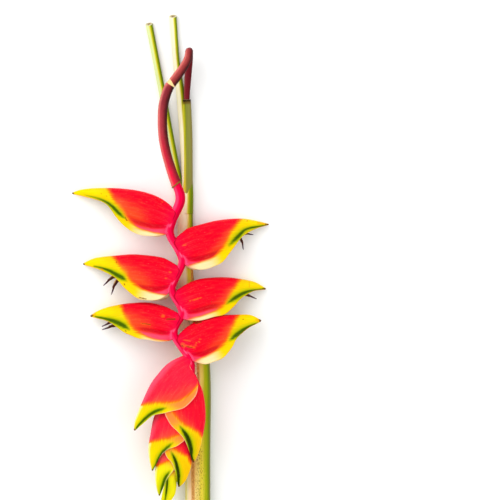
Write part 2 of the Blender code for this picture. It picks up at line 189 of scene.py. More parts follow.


# %% [markdown]
# ## The bracts on the plan
#
# Each bract is a leaf folded along its keel, like a small boat. From above it shows as two curves
# from base to tip, the keel and the open lip. Its half width in mm says how far its sides bulge, and
# its droop in degrees how far it hangs towards the table. It is scarlet from its base and turns
# yellow along a slanting edge before its tip, and a green stripe runs just inside the lip. Its glow
# says how far orange spreads into the scarlet; on the left bracts, which face the light, it reaches
# further as a painted highlight. All this is drawn as lines on the same flat plan, because a picture
# would fix the markings to one view and lines don't.

# %% Outlines, markings and scars
# x and y by turns. Each point of a stripe also has a half width and a strength, and each scar is
# amber or scorched and has both of its ends and half its width.
BRACTS = {
    "bract_01": {
        "side": -1, "half_width": 12.5, "droop": 17.1, "glow": 34,
        "keel": (
            173.8, 207.8, 170, 204, 162, 199, 151, 194, 135, 190, 115, 188, 95, 187.9, 80, 189.5,
            71.3, 192.6,
        ),
        "lip": (
            173.3, 233.5, 167, 234.5, 154.7, 236.4, 143.5, 234.7, 132, 229.5, 119.6, 217.6, 108, 204,
            91, 198, 72, 193.9,
        ),
        "yellow_edge": (
            106, 186, 111.3, 195, 117, 206.3, 123.4, 214.9, 132, 222.7, 139.5, 228.4, 150.6, 231.6,
            162, 233.8, 172, 234.8,
        ),
        "green": (
            84.5, 194.6, 0.6, 0.5, 102, 200, 1.1, 0.8, 111.6, 206, 1.5, 0.95, 118.8, 213.2, 1.5, 1,
            127, 220, 1, 0.4,
        ),
        "amber": (158, 233, 158.4, 233, 1.1, 161.8, 202, 162.2, 202, 0.5),
        "scorch": (101, 193.5, 101.2, 193.6, 0.5, 106.4, 196, 106.6, 196, 0.5, 125, 217.4, 127, 220.6, 0.6),
    },
    "bract_02": {
        "side": 1, "half_width": 12.3, "droop": 18.3, "glow": 12,
        "keel": (
            176.6, 237.6, 183, 231.6, 189, 227.8, 202, 224, 214.8, 220.8, 229, 218.9, 244, 218.6, 257, 220.8,
            269, 223.8,
        ),
        "lip": (
            184.9, 264.2, 190, 268.9, 202, 269.3, 212, 266, 221, 259.7, 231, 247, 241.6, 235.5, 254, 229,
            268.2, 225,
        ),
        "yellow_edge": (
            242, 217, 237, 224, 233.4, 229, 229.6, 235.6, 225.6, 243, 219.6, 251, 211.6, 258, 201, 261.6,
            190, 265, 184, 266.4,
        ),
        "green": (265, 225.4, 0.7, 0.9, 246.7, 229, 1.2, 0.9, 237.8, 236.7, 1.8, 1, 228.8, 245.7, 1.4, 0.55),
        "amber": (183, 246, 186, 244, 0.8, 258, 222.6, 268, 224.4, 1),
        "scorch": (236, 222, 236.2, 222, 0.5, 247, 221, 247.2, 221, 0.5, 266, 224.4, 268.6, 224.6, 0.9),
    },
    "bract_03": {
        "side": -1, "half_width": 12.2, "droop": 19.1, "glow": 26,
        "keel": (
            177.2, 265.4, 166, 258.9, 156.5, 256.4, 143.8, 255, 131, 254.3, 115, 255.6, 100, 257, 91, 259.2,
            82.4, 263.5,
        ),
        "lip": (
            173.9, 291, 166, 297.6, 153.3, 300.7, 142, 298.2, 131, 290.8, 118.3, 278.4, 105.5, 271.7,
            93, 267.4, 83, 264.9,
        ),
        "yellow_edge": (
            110, 253, 118.3, 264, 123.4, 272.3, 131, 280.6, 137.4, 285.7, 143.8, 289.5, 153.3, 292.7,
            168, 295,
        ),
        "green": (
            93.7, 266.4, 0.7, 0.7, 100.5, 267.8, 1, 0.85, 108.7, 270.5, 1.5, 0.95, 116.2, 274.6, 2, 1,
            121.7, 277.6, 2, 1, 127.5, 281.6, 1.2, 0.4,
        ),
        "amber": (169.4, 272, 170.6, 272.2, 0.9, 165.6, 278, 166.4, 278, 0.8, 101, 269, 103, 270, 0.8),
        "scorch": (
            124.2, 284, 124.8, 284.6, 0.8, 139.4, 297.2, 146.3, 299.2, 0.6, 116, 261, 116.4, 263.4, 0.4,
        ),
    },
    "bract_04": {
        "side": 1, "half_width": 12, "droop": 20, "glow": 12,
        "keel": (
            176.6, 290.6, 183, 286, 191.5, 281.6, 201, 278.7, 213.8, 277.4, 228, 277.4, 242.5, 279.3,
            255, 282.2, 266, 288.6,
        ),
        "lip": (
            185.2, 318.6, 190.8, 321.6, 201, 319.4, 212, 316.6, 222.4, 313.5, 230, 307, 239, 298.4,
            252, 291.4, 265.2, 289.8,
        ),
        "yellow_edge": (
            241.4, 277, 236.4, 285, 233, 291, 230, 297, 225.4, 303, 218.6, 308.6, 210.6, 312.6, 201, 315.8,
            190, 318.4, 184, 319.6,
        ),
        "green": (
            263.7, 289.1, 0.6, 0.9, 254.6, 290.4, 0.9, 0.9, 248.1, 291.4, 1.3, 0.95, 241.6, 294, 1.7, 1,
            235.1, 297.9, 1.8, 1, 228.6, 302.5, 1.2, 0.7, 224, 306, 0.8, 0.2,
        ),
        "amber": (
            192, 301, 202.5, 296.6, 0.45, 189.6, 301.2, 190.4, 301.2, 0.7, 249.4, 280, 249.4, 287, 0.5,
        ),
        "scorch": (
            190.2, 301.2, 190.4, 301.2, 0.5, 211.6, 301.8, 211.8, 301.8, 0.5, 263, 288.6, 265.6, 289, 0.7,
        ),
    },
    "bract_05": {
        "side": -1, "half_width": 11.8, "droop": 19.5, "glow": 26,
        "keel": (
            177.6, 312.8, 166, 306.8, 156.5, 303.9, 148.9, 302.6, 137.4, 302.6, 122, 304.2, 107, 307.3,
            97, 311.2, 89.8, 315.7,
        ),
        "lip": (
            174, 338.6, 167, 341.6, 153.3, 340.2, 141, 337.8, 131, 334.2, 120.8, 328.4, 110.6, 322, 99, 319,
            90.4, 317,
        ),
        "yellow_edge": (
            121, 303, 121.6, 307.8, 123.9, 314.1, 126.5, 320.5, 130.9, 326.3, 136, 330.7, 142.4, 333.9,
            148.8, 337.1, 158.3, 339.6, 172, 340.8,
        ),
        "green": (
            95, 316.8, 0.8, 0.8, 104.1, 318.6, 1.3, 0.9, 110.5, 320.2, 1.8, 1, 116.9, 322.4, 2.3, 1,
            123.3, 325.6, 2.2, 1, 129.6, 329.6, 1.3, 0.6,
        ),
        "amber": (162.6, 316, 163.4, 316, 1.6, 141, 323.4, 150, 324.6, 0.9, 90, 315.6, 94, 314.6, 1.6),
        "scorch": (
            166.6, 319.2, 175.2, 318.9, 0.9, 140.5, 322.4, 150.7, 324.3, 0.7, 125.5, 330.8, 126, 331.2, 0.6,
            90, 316, 92, 315.8, 1.1,
        ),
    },
    "bract_06": {
        "side": 1, "half_width": 11.8, "droop": 11.5, "glow": 14,
        "keel": (
            178.8, 335, 183, 330, 188.3, 325.9, 196, 321.4, 204.2, 318.4, 219, 315.4, 236, 314.7, 250.5, 315,
            261.3, 320.2,
        ),
        "lip": (
            192.6, 360.4, 199, 363.4, 207, 363.4, 215, 360.6, 223.6, 355.4, 230.4, 346.6, 236, 337.7,
            247, 328.6, 260.6, 321.8,
        ),
        "yellow_edge": (
            239, 314, 235.4, 320.2, 233, 326.4, 230.8, 332.5, 227, 339, 221, 346, 212.8, 352.4, 203.6, 356.8,
            196, 360, 190, 362,
        ),
        "green": (
            257.5, 323.6, 0.8, 1, 248.5, 327, 1.4, 1, 242.4, 330.7, 2, 1, 236.3, 334.9, 2, 1,
            231, 339.4, 1.4, 0.7, 227, 342.6, 0.8, 0.2,
        ),
        "amber": (
            182.6, 344, 184, 346, 1.7, 186, 345.6, 195, 347.4, 1, 195, 347, 196.6, 342.6, 0.7,
            184, 340, 190, 340.6, 0.6, 199, 342, 200.6, 338, 0.6, 257, 320, 261, 322, 1.4,
        ),
        "scorch": (
            182.4, 345.7, 182.6, 345.8, 0.9, 187, 346.6, 193, 347.8, 0.6, 196, 323, 201, 322, 0.8,
            243, 319.3, 243.2, 319.3, 0.6, 258.4, 317.6, 261, 321.6, 0.9,
        ),
    },
    "bract_07": {
        "side": -1, "half_width": 13.4, "droop": 0, "glow": 20, "nested": True,
        "keel": (
            183, 355.4, 174.8, 359, 166, 365, 158.4, 373.4, 150.6, 384, 143.4, 399, 138.8, 410, 134.8, 421,
            133.9, 430,
        ),
        "lip": (
            191.9, 366.4, 196, 376, 198.4, 385.5, 194.4, 397.4, 184.4, 407, 168, 411.8, 154, 415, 143.6, 423,
            135, 430.6,
        ),
        "yellow_edge": (
            136, 406, 143.4, 404.2, 153, 402.6, 163, 402, 171, 401.8, 180, 400, 188, 395, 194, 389.4,
            198, 384.4, 200.4, 378, 200, 368,
        ),
        "green": (
            136.5, 428, 0.8, 0.9, 139.6, 424, 1, 1, 145.1, 418.4, 1.3, 1, 150.8, 413.6, 1.5, 1,
            157.1, 410.3, 1.5, 1, 162.3, 408.6, 1.3, 0.8, 169, 406.4, 1, 0.2,
        ),
    },
    "bract_08": {
        "side": 1, "half_width": 11.9, "droop": 0, "glow": 12, "nested": True, "also": "golden",
        "keel": (
            195.6, 373.6, 199.6, 383, 203.4, 393, 205.4, 407, 205.5, 420, 203.4, 433, 201, 445, 198.2, 454.4,
            193.9, 462.4,
        ),
        "lip": (
            187, 389, 175.4, 395, 167.4, 403.4, 165.2, 413, 170, 423, 178, 431.4, 185, 440, 189.6, 452,
            192.6, 462.2,
        ),
        "yellow_edge": (
            206, 439, 202.1, 436, 198, 431.6, 192, 428.4, 185, 424.4, 178.4, 418.6, 173, 411.6, 171, 404,
            176, 396,
        ),
        "green": (
            192.4, 461, 1.1, 1, 191.2, 455, 1.7, 1, 191.2, 449.6, 2, 1, 189.4, 441.4, 2.4, 1,
            186.4, 434.6, 2.2, 1, 181.4, 427.6, 1.4, 0.7, 177, 422, 1, 0.2,
        ),
        "amber": (176, 403, 178, 408, 0.7),
        "scorch": (192.6, 461.4, 193.4, 459.6, 0.9),
    },
    "bract_09": {
        "side": -1, "half_width": 9.8, "droop": 0, "glow": 17, "nested": True,
        "keel": (
            181.2, 388.6, 170, 395.6, 160.6, 405, 154, 417, 150.6, 433, 148.4, 447, 149, 458, 151, 467,
            152, 471,
        ),
        "lip": (
            190, 402, 192.4, 414, 191, 427, 186.6, 438, 178, 445, 167.6, 449.4, 160.7, 456, 155.6, 465.6,
            152.9, 470.6,
        ),
        "yellow_edge": (
            148, 442, 150.9, 441.4, 160.5, 439.4, 168.7, 438, 174.1, 436, 180.3, 433.9, 186, 428, 188, 415,
        ),
        "green": (
            153.6, 469.4, 0.9, 1, 155.7, 465.7, 1.1, 1, 157.9, 460.6, 1.4, 1, 161.4, 454, 1.6, 1,
            165.9, 448.6, 1.6, 0.9, 170.7, 444, 1.2, 0.7, 176, 440, 1, 0.1,
        ),
    },
    "bract_10": {
        "side": 1, "half_width": 7.95, "droop": 0, "glow": 9, "nested": True, "also": "golden",
        "keel": (
            190.6, 401, 194.6, 412, 196.2, 428, 194.6, 444, 192, 456, 191.4, 465, 188.6, 474.4, 184.4, 482.4,
            179, 487.2,
        ),
        "lip": (
            182.6, 414, 172, 424.4, 165.6, 436, 163.6, 447, 166.6, 456, 171.6, 462.4, 175, 471, 176.8, 480.4,
            178.2, 486.6,
        ),
        "yellow_edge": (
            193, 465, 190.5, 461.4, 187.8, 456.4, 181, 453, 175.5, 449.6, 172, 446, 169, 440, 170, 430,
        ),
        "green": (
            178.4, 485.8, 1, 1, 178.6, 477, 1.6, 1, 178, 470.1, 1.8, 1, 176, 461.9, 1.6, 1,
            173.2, 455.1, 1.3, 0.8, 169.6, 449, 1, 0.2,
        ),
        "scorch": (178, 486.8, 179, 485, 0.9),
    },
    "bract_11": {
        "side": -1, "half_width": 6.1, "droop": 0, "glow": 8, "nested": True, "also": "youngest",
        "keel": (
            175.6, 414.6, 166.6, 424, 159.4, 437, 155.6, 450, 155.6, 462, 155, 473, 155.4, 482, 157, 490.6,
            159, 496,
        ),
        "lip": (
            183, 427.4, 182.8, 440, 180.6, 454, 176.6, 465.4, 170.6, 474, 166, 481, 163, 488, 161, 493,
            159.8, 495.6,
        ),
        "yellow_edge": (154, 466, 158.4, 464.6, 163.2, 462.6, 170, 459.9, 177, 456, 180, 446),
        "green": (
            160.4, 494.6, 0.8, 1, 161.4, 491, 1.2, 1, 162.5, 486.1, 1.5, 1, 164.6, 479.6, 1.5, 1,
            167.3, 474.4, 1.3, 0.9, 171, 469.6, 1, 0.3,
        ),
    },
    "bract_12": {
        "side": 1, "half_width": 4.6, "droop": 0, "glow": 6, "nested": True, "also": "youngest",
        "keel": (
            183, 427, 185.4, 440, 185, 455, 181.2, 468, 177.4, 478, 176.4, 487, 175, 494.4, 170.6, 501,
            164.6, 507.6,
        ),
        "lip": (
            175.4, 436, 171, 446, 168.2, 459, 166.8, 471, 165.2, 480.6, 163.3, 488, 161.8, 495, 161.2, 501.4,
            163, 507.2,
        ),
        "yellow_edge": (186, 452, 180, 458, 172, 462, 166, 466),
        "green": (
            164.4, 504, 0.6, 0.7, 165.8, 496, 1, 0.8, 166.8, 488, 1.3, 0.9, 167.5, 480.6, 1.2, 0.8,
            168.6, 473, 0.8, 0.1,
        ),
    },
}
PER_POINT = {"keel": 2, "lip": 2, "yellow_edge": 2, "green": 4, "amber": 5, "scorch": 5}

for bract_spec in BRACTS.values():
    for line_name, width in PER_POINT.items():
        bract_spec[line_name] = np.reshape(bract_spec.get(line_name, ()), (-1, width))
print("bracts:", len(BRACTS))

# %% [markdown]
# ## Paint in coats
#
# A plant's skin is coloured in layers: green, yellow and red pigments that fade into each other with
# slightly ragged edges. So each material here is one ground colour with a list of coats over it. A
# coat has an attribute of the mesh, the two values between which it grows, how ragged its edge is,
# its strength and its colour. One small function adds every node.

# %% Colours and nodes


def linear(hex_colour):
    """An sRGB hex colour as the linear one that shaders work in."""
    channels = [int(hex_colour[start:start + 2], 16) / 255 for start in (1, 3, 5)]
    return (*(c / 12.92 if c <= 0.04045 else ((c + 0.055) / 1.055) ** 2.4 for c in channels), 1)


def add_node(tree, kind, inputs=None, output=0, **settings):
    """Adds a node with its settings, links or sets its inputs, and returns one output, or the node."""
    node = tree.nodes.new(kind)
    for name, value in settings.items():
        setattr(node, name, value)
    for key, value in (inputs or {}).items():
        if isinstance(value, bpy.types.NodeSocket):
            tree.links.new(value, node.inputs[key])
        else:
            node.inputs[key].default_value = value
    return node if output is None else node.outputs[output]


# %% The coated skin
RELIEF_HEIGHT = 0.3 * MM
NOISE_DETAIL = 3
NOISE_MIDDLE = 0.5
LINES_REACH = 0.2


def skin(name, ground, coats, noises, surface, darkest=0.9, relief=0.25):
    """A plant's skin: a ground colour, coats over it, fine lines along it and their relief.

    The attribute "grain" runs in mm along the piece and across it, and each noise stretches it by
    its own scales. A coat has an attribute, the two values between which it grows, the noise that
    makes it ragged and by how much, its strength and its colour.
    """
    made = bpy.data.materials.new(name)
    made.use_nodes = True
    tree = made.node_tree
    shader = tree.nodes["Principled BSDF"]
    grain = add_node(tree, "ShaderNodeAttribute", output="Vector", attribute_name="grain")
    shifts = {}
    for noise, scales in noises.items():
        stretched = add_node(tree, "ShaderNodeVectorMath", {0: grain, 1: scales}, operation="MULTIPLY")
        drawn = {"Vector": stretched, "Scale": 1, "Detail": NOISE_DETAIL}
        drawn = add_node(tree, "ShaderNodeTexNoise", drawn, "Fac")
        shifts[noise] = add_node(tree, "ShaderNodeMath", {0: drawn, 1: NOISE_MIDDLE}, operation="SUBTRACT")
    paint = linear(ground)
    for attribute, low, high, noise, amount, strength, colour in coats:
        value = add_node(tree, "ShaderNodeAttribute", output="Fac", attribute_name=attribute)
        ragged = {0: shifts[noise], 1: amount, 2: value}
        value = add_node(tree, "ShaderNodeMath", ragged, operation="MULTIPLY_ADD")
        ends = {"Value": value, "From Min": low, "From Max": high, "To Max": strength}
        mask = add_node(tree, "ShaderNodeMapRange", ends, "Result", interpolation_type="SMOOTHSTEP")
        paint = add_node(tree, "ShaderNodeMix", {0: mask, 6: paint, 7: linear(colour)}, 2, data_type="RGBA")
    shade = {"From Min": -LINES_REACH, "From Max": LINES_REACH, "To Min": darkest, "To Max": 1}
    shade = add_node(tree, "ShaderNodeMapRange", {"Value": shifts["lines"]} | shade, "Result")
    painted = add_node(tree, "ShaderNodeVectorMath", {0: paint, 3: shade}, operation="SCALE")
    tree.links.new(painted, shader.inputs["Base Color"])
    raised = {"Strength": relief, "Distance": RELIEF_HEIGHT, "Height": shifts["lines"]}
    tree.links.new(add_node(tree, "ShaderNodeBump", raised), shader.inputs["Normal"])
    for socket, value in surface.items():
        shader.inputs[socket].default_value = value
    print(name, len(tree.nodes), "nodes")
    return made


# %% [markdown]
# ## The skin of a bract
#
# A fresh bract is thick, waxy and slightly see-through. Its wax is dull, so there is little gloss,
# and the juicy flesh lets light spread a little under the skin. Veins run from base to tip, under a
# millimetre apart, and barely show. Old rubs and insect bites leave amber and brown scars.

# %% Bract skin
FLESH = {
    "Roughness": 0.42, "IOR": 1.42, "Specular IOR Level": 0.03,
    "Subsurface Weight": 0.08, "Subsurface Scale": 0.0025, "Subsurface Radius": (1, 0.45, 0.25),
}
# How each noise is stretched, in turns per mm along the bract, across it and between its two sides
BRACT_NOISES = {"edges": (0.12, 0.5, 0.3), "lines": (0.05, 1.3, 1), "flecks": (0.7, 0.9, 1)}
RED_COATS = (
    # Deeper red by the keel, and painted shade almost to the lip on the right nested bracts
    ("keel", 0, 1, "edges", 0.3, 0.6, "#E60024"),
    # A painted highlight along the keel of the left nested bracts, which face the light
    ("keel_highlight_pink", 0.1, 1, "edges", 0.3, 0.6, "#FF5E7C"),
    # Orange into the scarlet, partly painted light: wider on the lit left bracts, all over the youngest
    ("glow", 0, 1, "edges", 0.5, 0.9, "#FF5020"),
    # Pink below the crease; on the left nested bracts and the youngest a painted highlight
    ("rose_and_highlight", 0, 1, "edges", 0.3, 0.85, "#FF4C6E"),
    # The crease is darker red, partly its own colour and partly painted shade in the fold
    ("crease_colour_and_shade", 0, 1, "edges", 0.2, 0.85, "#C4001C"),
    ("freckled", 0.46, 0.54, "flecks", 1.1, 0.25, "#FF6A5A"),
    ("freckled", 0.25, 0.6, "lines", 1.6, 0.14, "#FF5A66"),
    ("past_red", -3.2, 0.4, "edges", 2.6, 1, "#FF6410"),
    ("past_red", -0.8, 2.8, "lines", 6.5, 1, "#FFC800"),
    ("past_red", 2, 14, "edges", 2.6, 0.6, "#FFDC00"),
    ("golden", 0, 1, "edges", 0.3, 0.7, "#FFBC00"),
    ("young", 0, 1, "edges", 0.3, 0.7, "#E2E414"),
    # The same painted keel highlight, pale where the bract has turned yellow
    ("keel_highlight_pale", 0.1, 1, "edges", 0.3, 0.65, "#FFF8A8"),
)
GREEN_COATS = (
    ("green_halo", 0.1, 1, "edges", 0.25, 0.9, "#BCC000"),
    ("green", 0.12, 0.8, "edges", 0.3, 0.9, "#7A9400"),
    ("green", 0.5, 0.95, "edges", 0.3, 0.95, "#3A5A00"),
    ("dark_green", 0.55, 1, "edges", 0.3, 0.9, "#1C3000"),
    ("near_rachis", 0, 1, "edges", 0.3, 0.9, "#E6003C"),
    # Painted shade in the notch where the bract grows out of the rachis
    ("base_shade_line", 0.2, 1, "edges", 0.5, 0.75, "#98001E"),
    # A painted pink highlight on the base of the bract where it rounds over the rachis
    ("base_ridge_highlight", 0.3, 1, "flecks", 1.3, 0.55, "#FF5A8A"),
    ("edge_line", 0, 1, "flecks", 0.5, 0.8, "#E89A30"),
    # A thin painted highlight along the lips of the nested bracts
    ("lip_edge_highlight", 0.1, 1, "flecks", 1.2, 0.55, "#FFDCC0"),
    ("amber", 0.3, 0.9, "flecks", 1.1, 0.42, "#EC7A18"),
    ("scorch", 0.35, 0.85, "flecks", 1, 0.8, "#5E3A08"),
    ("tip", 0, 1, "flecks", 0.6, 0.95, "#6A3A14"),
    ("inside", 0.2, 0.8, "edges", 0.1, 1, "#FAF0BC"),
    ("inside_glow", 0.1, 1, "lines", 1.2, 0.42, "#F4A07C"),
    ("inside_green", 0.1, 1, "lines", 1, 0.6, "#C9D070"),
)
# A bract that stands open is cream beside its base. A nested one is younger, and orange there.
BRACT_SKINS = {}
for nested, skin_name, ground, cream_strength, cream in (
    (False, "waxy open bract", "#FF0022", 1, "#F5D9A0"),
    (True, "waxy nested bract", "#FF1432", 0.9, "#FF7C3C"),
):
    coats = (*RED_COATS, ("cream", 0, 1, "edges", 0.25, cream_strength, cream), *GREEN_COATS)
    BRACT_SKINS[nested] = skin(skin_name, ground, coats, BRACT_NOISES, FLESH)

# %% [markdown]
# ## The fine bracts
#
# A bract could be a sheet with a Solidify modifier, but its lips roll outwards, its wall thins
# towards them, and its base grows round the rachis. So it is built as one closed shell, section by
# section: the outside from lip over keel to lip, and the inside back again. Near the rachis each
# section bends on to the rachis itself, so that the bract grows out of it.

# %% Sections of a bract
STATIONS = 132
SIDE_POINTS = 40
OUTSIDE = 2 * SIDE_POINTS - 1
ALONG = np.linspace(0, 1, STATIONS)[:, None]
# Share of the length and of the half width, then share of the way down and of the width there
OPEN_SWELL = (
    (0, 0), (0.08, 0.36), (0.2, 0.8), (0.35, 1), (0.5, 0.97),
    (0.65, 0.8), (0.8, 0.5), (0.9, 0.27), (1, 0),
)
NESTED_SWELL = (
    (0, 0), (0.08, 0.4), (0.2, 0.84), (0.35, 1), (0.6, 1),
    (0.74, 0.92), (0.86, 0.7), (0.95, 0.38), (1, 0),
)
OPEN_SIDE = (
    (0, 0), (0.03, 0.32), (0.12, 0.63), (0.28, 0.92), (0.45, 1),
    (0.6, 0.93), (0.71, 0.74), (0.78, 0.67), (0.87, 0.72), (1, 0.86),
)
TIP_SIDE = ((0, 0), (0.03, 0.32), (0.12, 0.63), (0.28, 0.9), (0.47, 1), (0.7, 0.93), (0.86, 0.78), (1, 0.7))
NESTED_SIDE = (
    (0, 0), (0.03, 0.3), (0.13, 0.6), (0.32, 0.86), (0.55, 0.97), (0.8, 0.97), (0.9, 0.97), (1, 1.03),
)
FOLD_FADES = (0.72, 0.4)


def side_reach(nested, shares):
    """How far out the side stands at those shares, for every station."""
    if nested:
        return np.tile(smooth_value(NESTED_SIDE, shares), (STATIONS, 1))
    fold = ramp(*FOLD_FADES, ALONG)
    return smooth_value(OPEN_SIDE, shares) * fold + smooth_value(TIP_SIDE, shares) * (1 - fold)


def keel_and_lip(spec):
    return [smooth_path(spec[edge], STATIONS) for edge in ("keel", "lip")]


# %% Where the points of a bract lie
CURL = 0.66
BASE_REACH = 0.14
WRAP = math.radians(108)
# How much of that turn the base keeps, from keel to lip: the rachis comes to the front below it
WRAPPED = ((0, 0), (0.08, 0.45), (0.2, 0.9), (0.35, 1), (0.6, 0.95), (0.8, 0.6), (1, 0.5))
BASE_OVER = 0.4 * MM
BASE_UNDER = -0.3 * MM


def bract_height(x, y, side, droop):
    """Height of a bract's middle plane, which droops away from the rachis and then levels off."""
    outwards = np.maximum(side * (x - rachis_x(y)), 0) * UNIT
    return axis_height(y) - math.tan(droop) * outwards + (CURL * outwards**2 if droop else 0)


def bract_points(spec, down, out, front, over):
    """Points of the shell for every station, from how far down and how far out they lie.

    Front is 1 for the side that faces up, and over says how far the base stands off the rachis.
    """
    keel, lip = keel_and_lip(spec)
    droop = math.radians(spec["droop"])
    side = spec["side"]
    x, y = (keel[:, [axis]] + (lip[:, [axis]] - keel[:, [axis]]) * down for axis in (0, 1))
    normal = np.array([side * math.sin(droop), 0, math.cos(droop)])
    shell = place(x, y, bract_height(x, y, side, droop)) + normal * out[..., None]
    foot_y = keel[0, 1] + (lip[0, 1] - keel[0, 1]) * down
    turn = WRAP * smooth_value(WRAPPED, np.clip(down, 0, 1)) * front
    radius = rachis_radius(foot_y) + over
    foot = place(rachis_x(foot_y), foot_y, axis_height(foot_y))
    foot = foot + radius[..., None] * np.stack([side * np.cos(turn), 0 * turn, np.sin(turn)], axis=-1)
    joined = ramp(0, BASE_REACH, ALONG)[..., None]
    return foot * (1 - joined) + shell * joined


# %% The shell of a bract
GAP = 0.3 * MM
BASE_EASE = 0.15 * MM
BRACT_TIP = 0.7 * MM
WALLS = {True: 0.8 * MM, False: 1.15 * MM}
TAPER_FROM = 0.35
HOLLOW_ENDS = 0.84
LEAST_HOLLOW = 0.3
THINNER_LIP = 0.45
THINS_FROM = 0.6
# Ripples: their height, how many radians each kind turns from base to tip and from keel to lip
UNDULATION = 0.22 * MM
SLOW_WAVES = (9, 4)
QUICK_WAVES = (17, -9)
QUICK_SHARE = 0.6
LIP_WAVE = 0.006
LIP_WAVES = 31
LIP_WAVES_FROM = 0.7


def bract_shell(spec, seed):
    """Every point of a bract, as stations by loop, with how far down each lies and which are inside."""
    nested = spec.get("nested", False)
    wall = WALLS[nested]
    keel, lip = keel_and_lip(spec)
    base = rachis_radius(keel[0, 1]) + GAP + wall + BASE_EASE
    least = base + (BRACT_TIP - base) * np.clip((ALONG - TAPER_FROM) / (1 - TAPER_FROM), 0, 1)
    swell = smooth_value(NESTED_SWELL if nested else OPEN_SWELL, ALONG)
    half = least + (spec["half_width"] * MM - least) * swell
    depth = (np.linalg.norm(keel - lip, axis=1) * UNIT)[:, None]
    hollow = 1 - ramp(HOLLOW_ENDS, 1, ALONG)
    phases = np.random.default_rng(seed).uniform(0, 2 * math.pi, 6)
    # The points of a side are closer where it bends
    shares = smooth_path(OPEN_SIDE, SIDE_POINTS)[:, 0]
    parts = []
    for is_inner in (False, True):
        down = np.concatenate([shares[::-1], shares[1:]])
        sign = np.concatenate([-np.ones(SIDE_POINTS), np.ones(SIDE_POINTS - 1)])
        reach = side_reach(nested, down)
        slow = np.sin(ALONG * SLOW_WAVES[0] + down * SLOW_WAVES[1] + phases[2])
        quick = np.sin(ALONG * QUICK_WAVES[0] + down * QUICK_WAVES[1] + phases[3] * sign)
        body = np.sin(math.pi * np.clip(down, 0, 1)) * np.sin(math.pi * ALONG) ** 0.5
        out = (reach * half + UNDULATION * body * (slow + QUICK_SHARE * quick)) * sign
        wave = np.sin(ALONG * LIP_WAVES + phases[0] + sign * phases[1])
        far_down = down + LIP_WAVE * ramp(LIP_WAVES_FROM, 1, down) * wave * hollow
        if is_inner:
            thinning = wall * (1 - THINNER_LIP * ramp(THINS_FROM, 1, down))
            narrow = np.maximum(1 - thinning / half, LEAST_HOLLOW)
            thinner = np.maximum(1 - wall / depth, LEAST_HOLLOW)
            far_down = 1 - (1 - far_down) * thinner * hollow
            flat_out = np.linspace(-1, 1, len(down)) * reach[:, [-1]] * half
            out = (out * hollow + flat_out * (1 - hollow)) * narrow
            down, sign, far_down, out = down[::-1], sign[::-1], far_down[:, ::-1], out[:, ::-1]
        points = bract_points(spec, far_down, out, sign, BASE_UNDER if is_inner else BASE_OVER)
        parts.append((points, np.tile(down, (STATIONS, 1)), np.full(out.shape, float(is_inner))))
    return [np.concatenate(both, axis=1) for both in zip(*parts)]


# %% Faces of a closed shell


def shell_faces(rings, around):
    """Quads between closed rings, and strips between the outside and the inside at both ends."""
    faces = []
    for ring in range(rings - 1):
        low = ring * around
        for step in range(around):
            after = (step + 1) % around
            faces.append((low + step, low + after, low + around + after, low + around + step))
    end = (rings - 1) * around
    for step in range(around // 2 - 1):
        mate = around - 1 - step
        faces.append((step + 1, step, mate, mate - 1))
        faces.append((end + step, end + step + 1, end + mate - 1, end + mate))
    return faces


# %% [markdown]
# ## Attributes carry the markings
#
# The markings are distances on the plan: how far past the yellow edge a point lies, and how near
# the green stripe. They are worked out once for the side that faces up and used for both sides,
# because the two halves of a folded leaf match. The material then draws crisp edges from them.

# %% Distances to a line and to short marks
LINE_RUNS_ON = 60
SHORTEST = 1e-9


def from_line(line, x, y):
    """Signed distance of points from a line on the plan, and the index of the nearest piece."""
    dense = smooth_curve(line)
    first = dense[0] + (dense[0] - dense[1]) / np.linalg.norm(dense[0] - dense[1]) * LINE_RUNS_ON
    last = dense[-1] + (dense[-1] - dense[-2]) / np.linalg.norm(dense[-1] - dense[-2]) * LINE_RUNS_ON
    dense = np.vstack([first, dense, last])
    starts, ways = dense[:-1], np.diff(dense, axis=0)
    lengths = np.maximum(np.linalg.norm(ways, axis=1), SHORTEST)
    gone_x = x[:, None] - starts[:, 0]
    gone_y = y[:, None] - starts[:, 1]
    share = np.clip((gone_x * ways[:, 0] + gone_y * ways[:, 1]) / lengths**2, 0, 1)
    distance = np.hypot(gone_x - share * ways[:, 0], gone_y - share * ways[:, 1])
    nearest = np.argmin(distance, axis=1)
    rows = np.arange(len(x))
    cross = ways[nearest, 0] * gone_y[rows, nearest] - ways[nearest, 1] * gone_x[rows, nearest]
    return distance[rows, nearest] * np.sign(cross), np.clip(nearest - 1, 0, len(dense) - 4)


def near_marks(marks, x, y):
    """How near the short marks each point lies, from 0 to 1."""
    near = np.zeros(len(x))
    for x0, y0, x1, y1, width in marks:
        way = np.array([x1 - x0, y1 - y0])
        share = np.clip(((x - x0) * way[0] + (y - y0) * way[1]) / way.dot(way), 0, 1)
        distance = np.hypot(x - x0 - share * way[0], y - y0 - share * way[1])
        near = np.maximum(near, bump(0, width, distance))
    return near


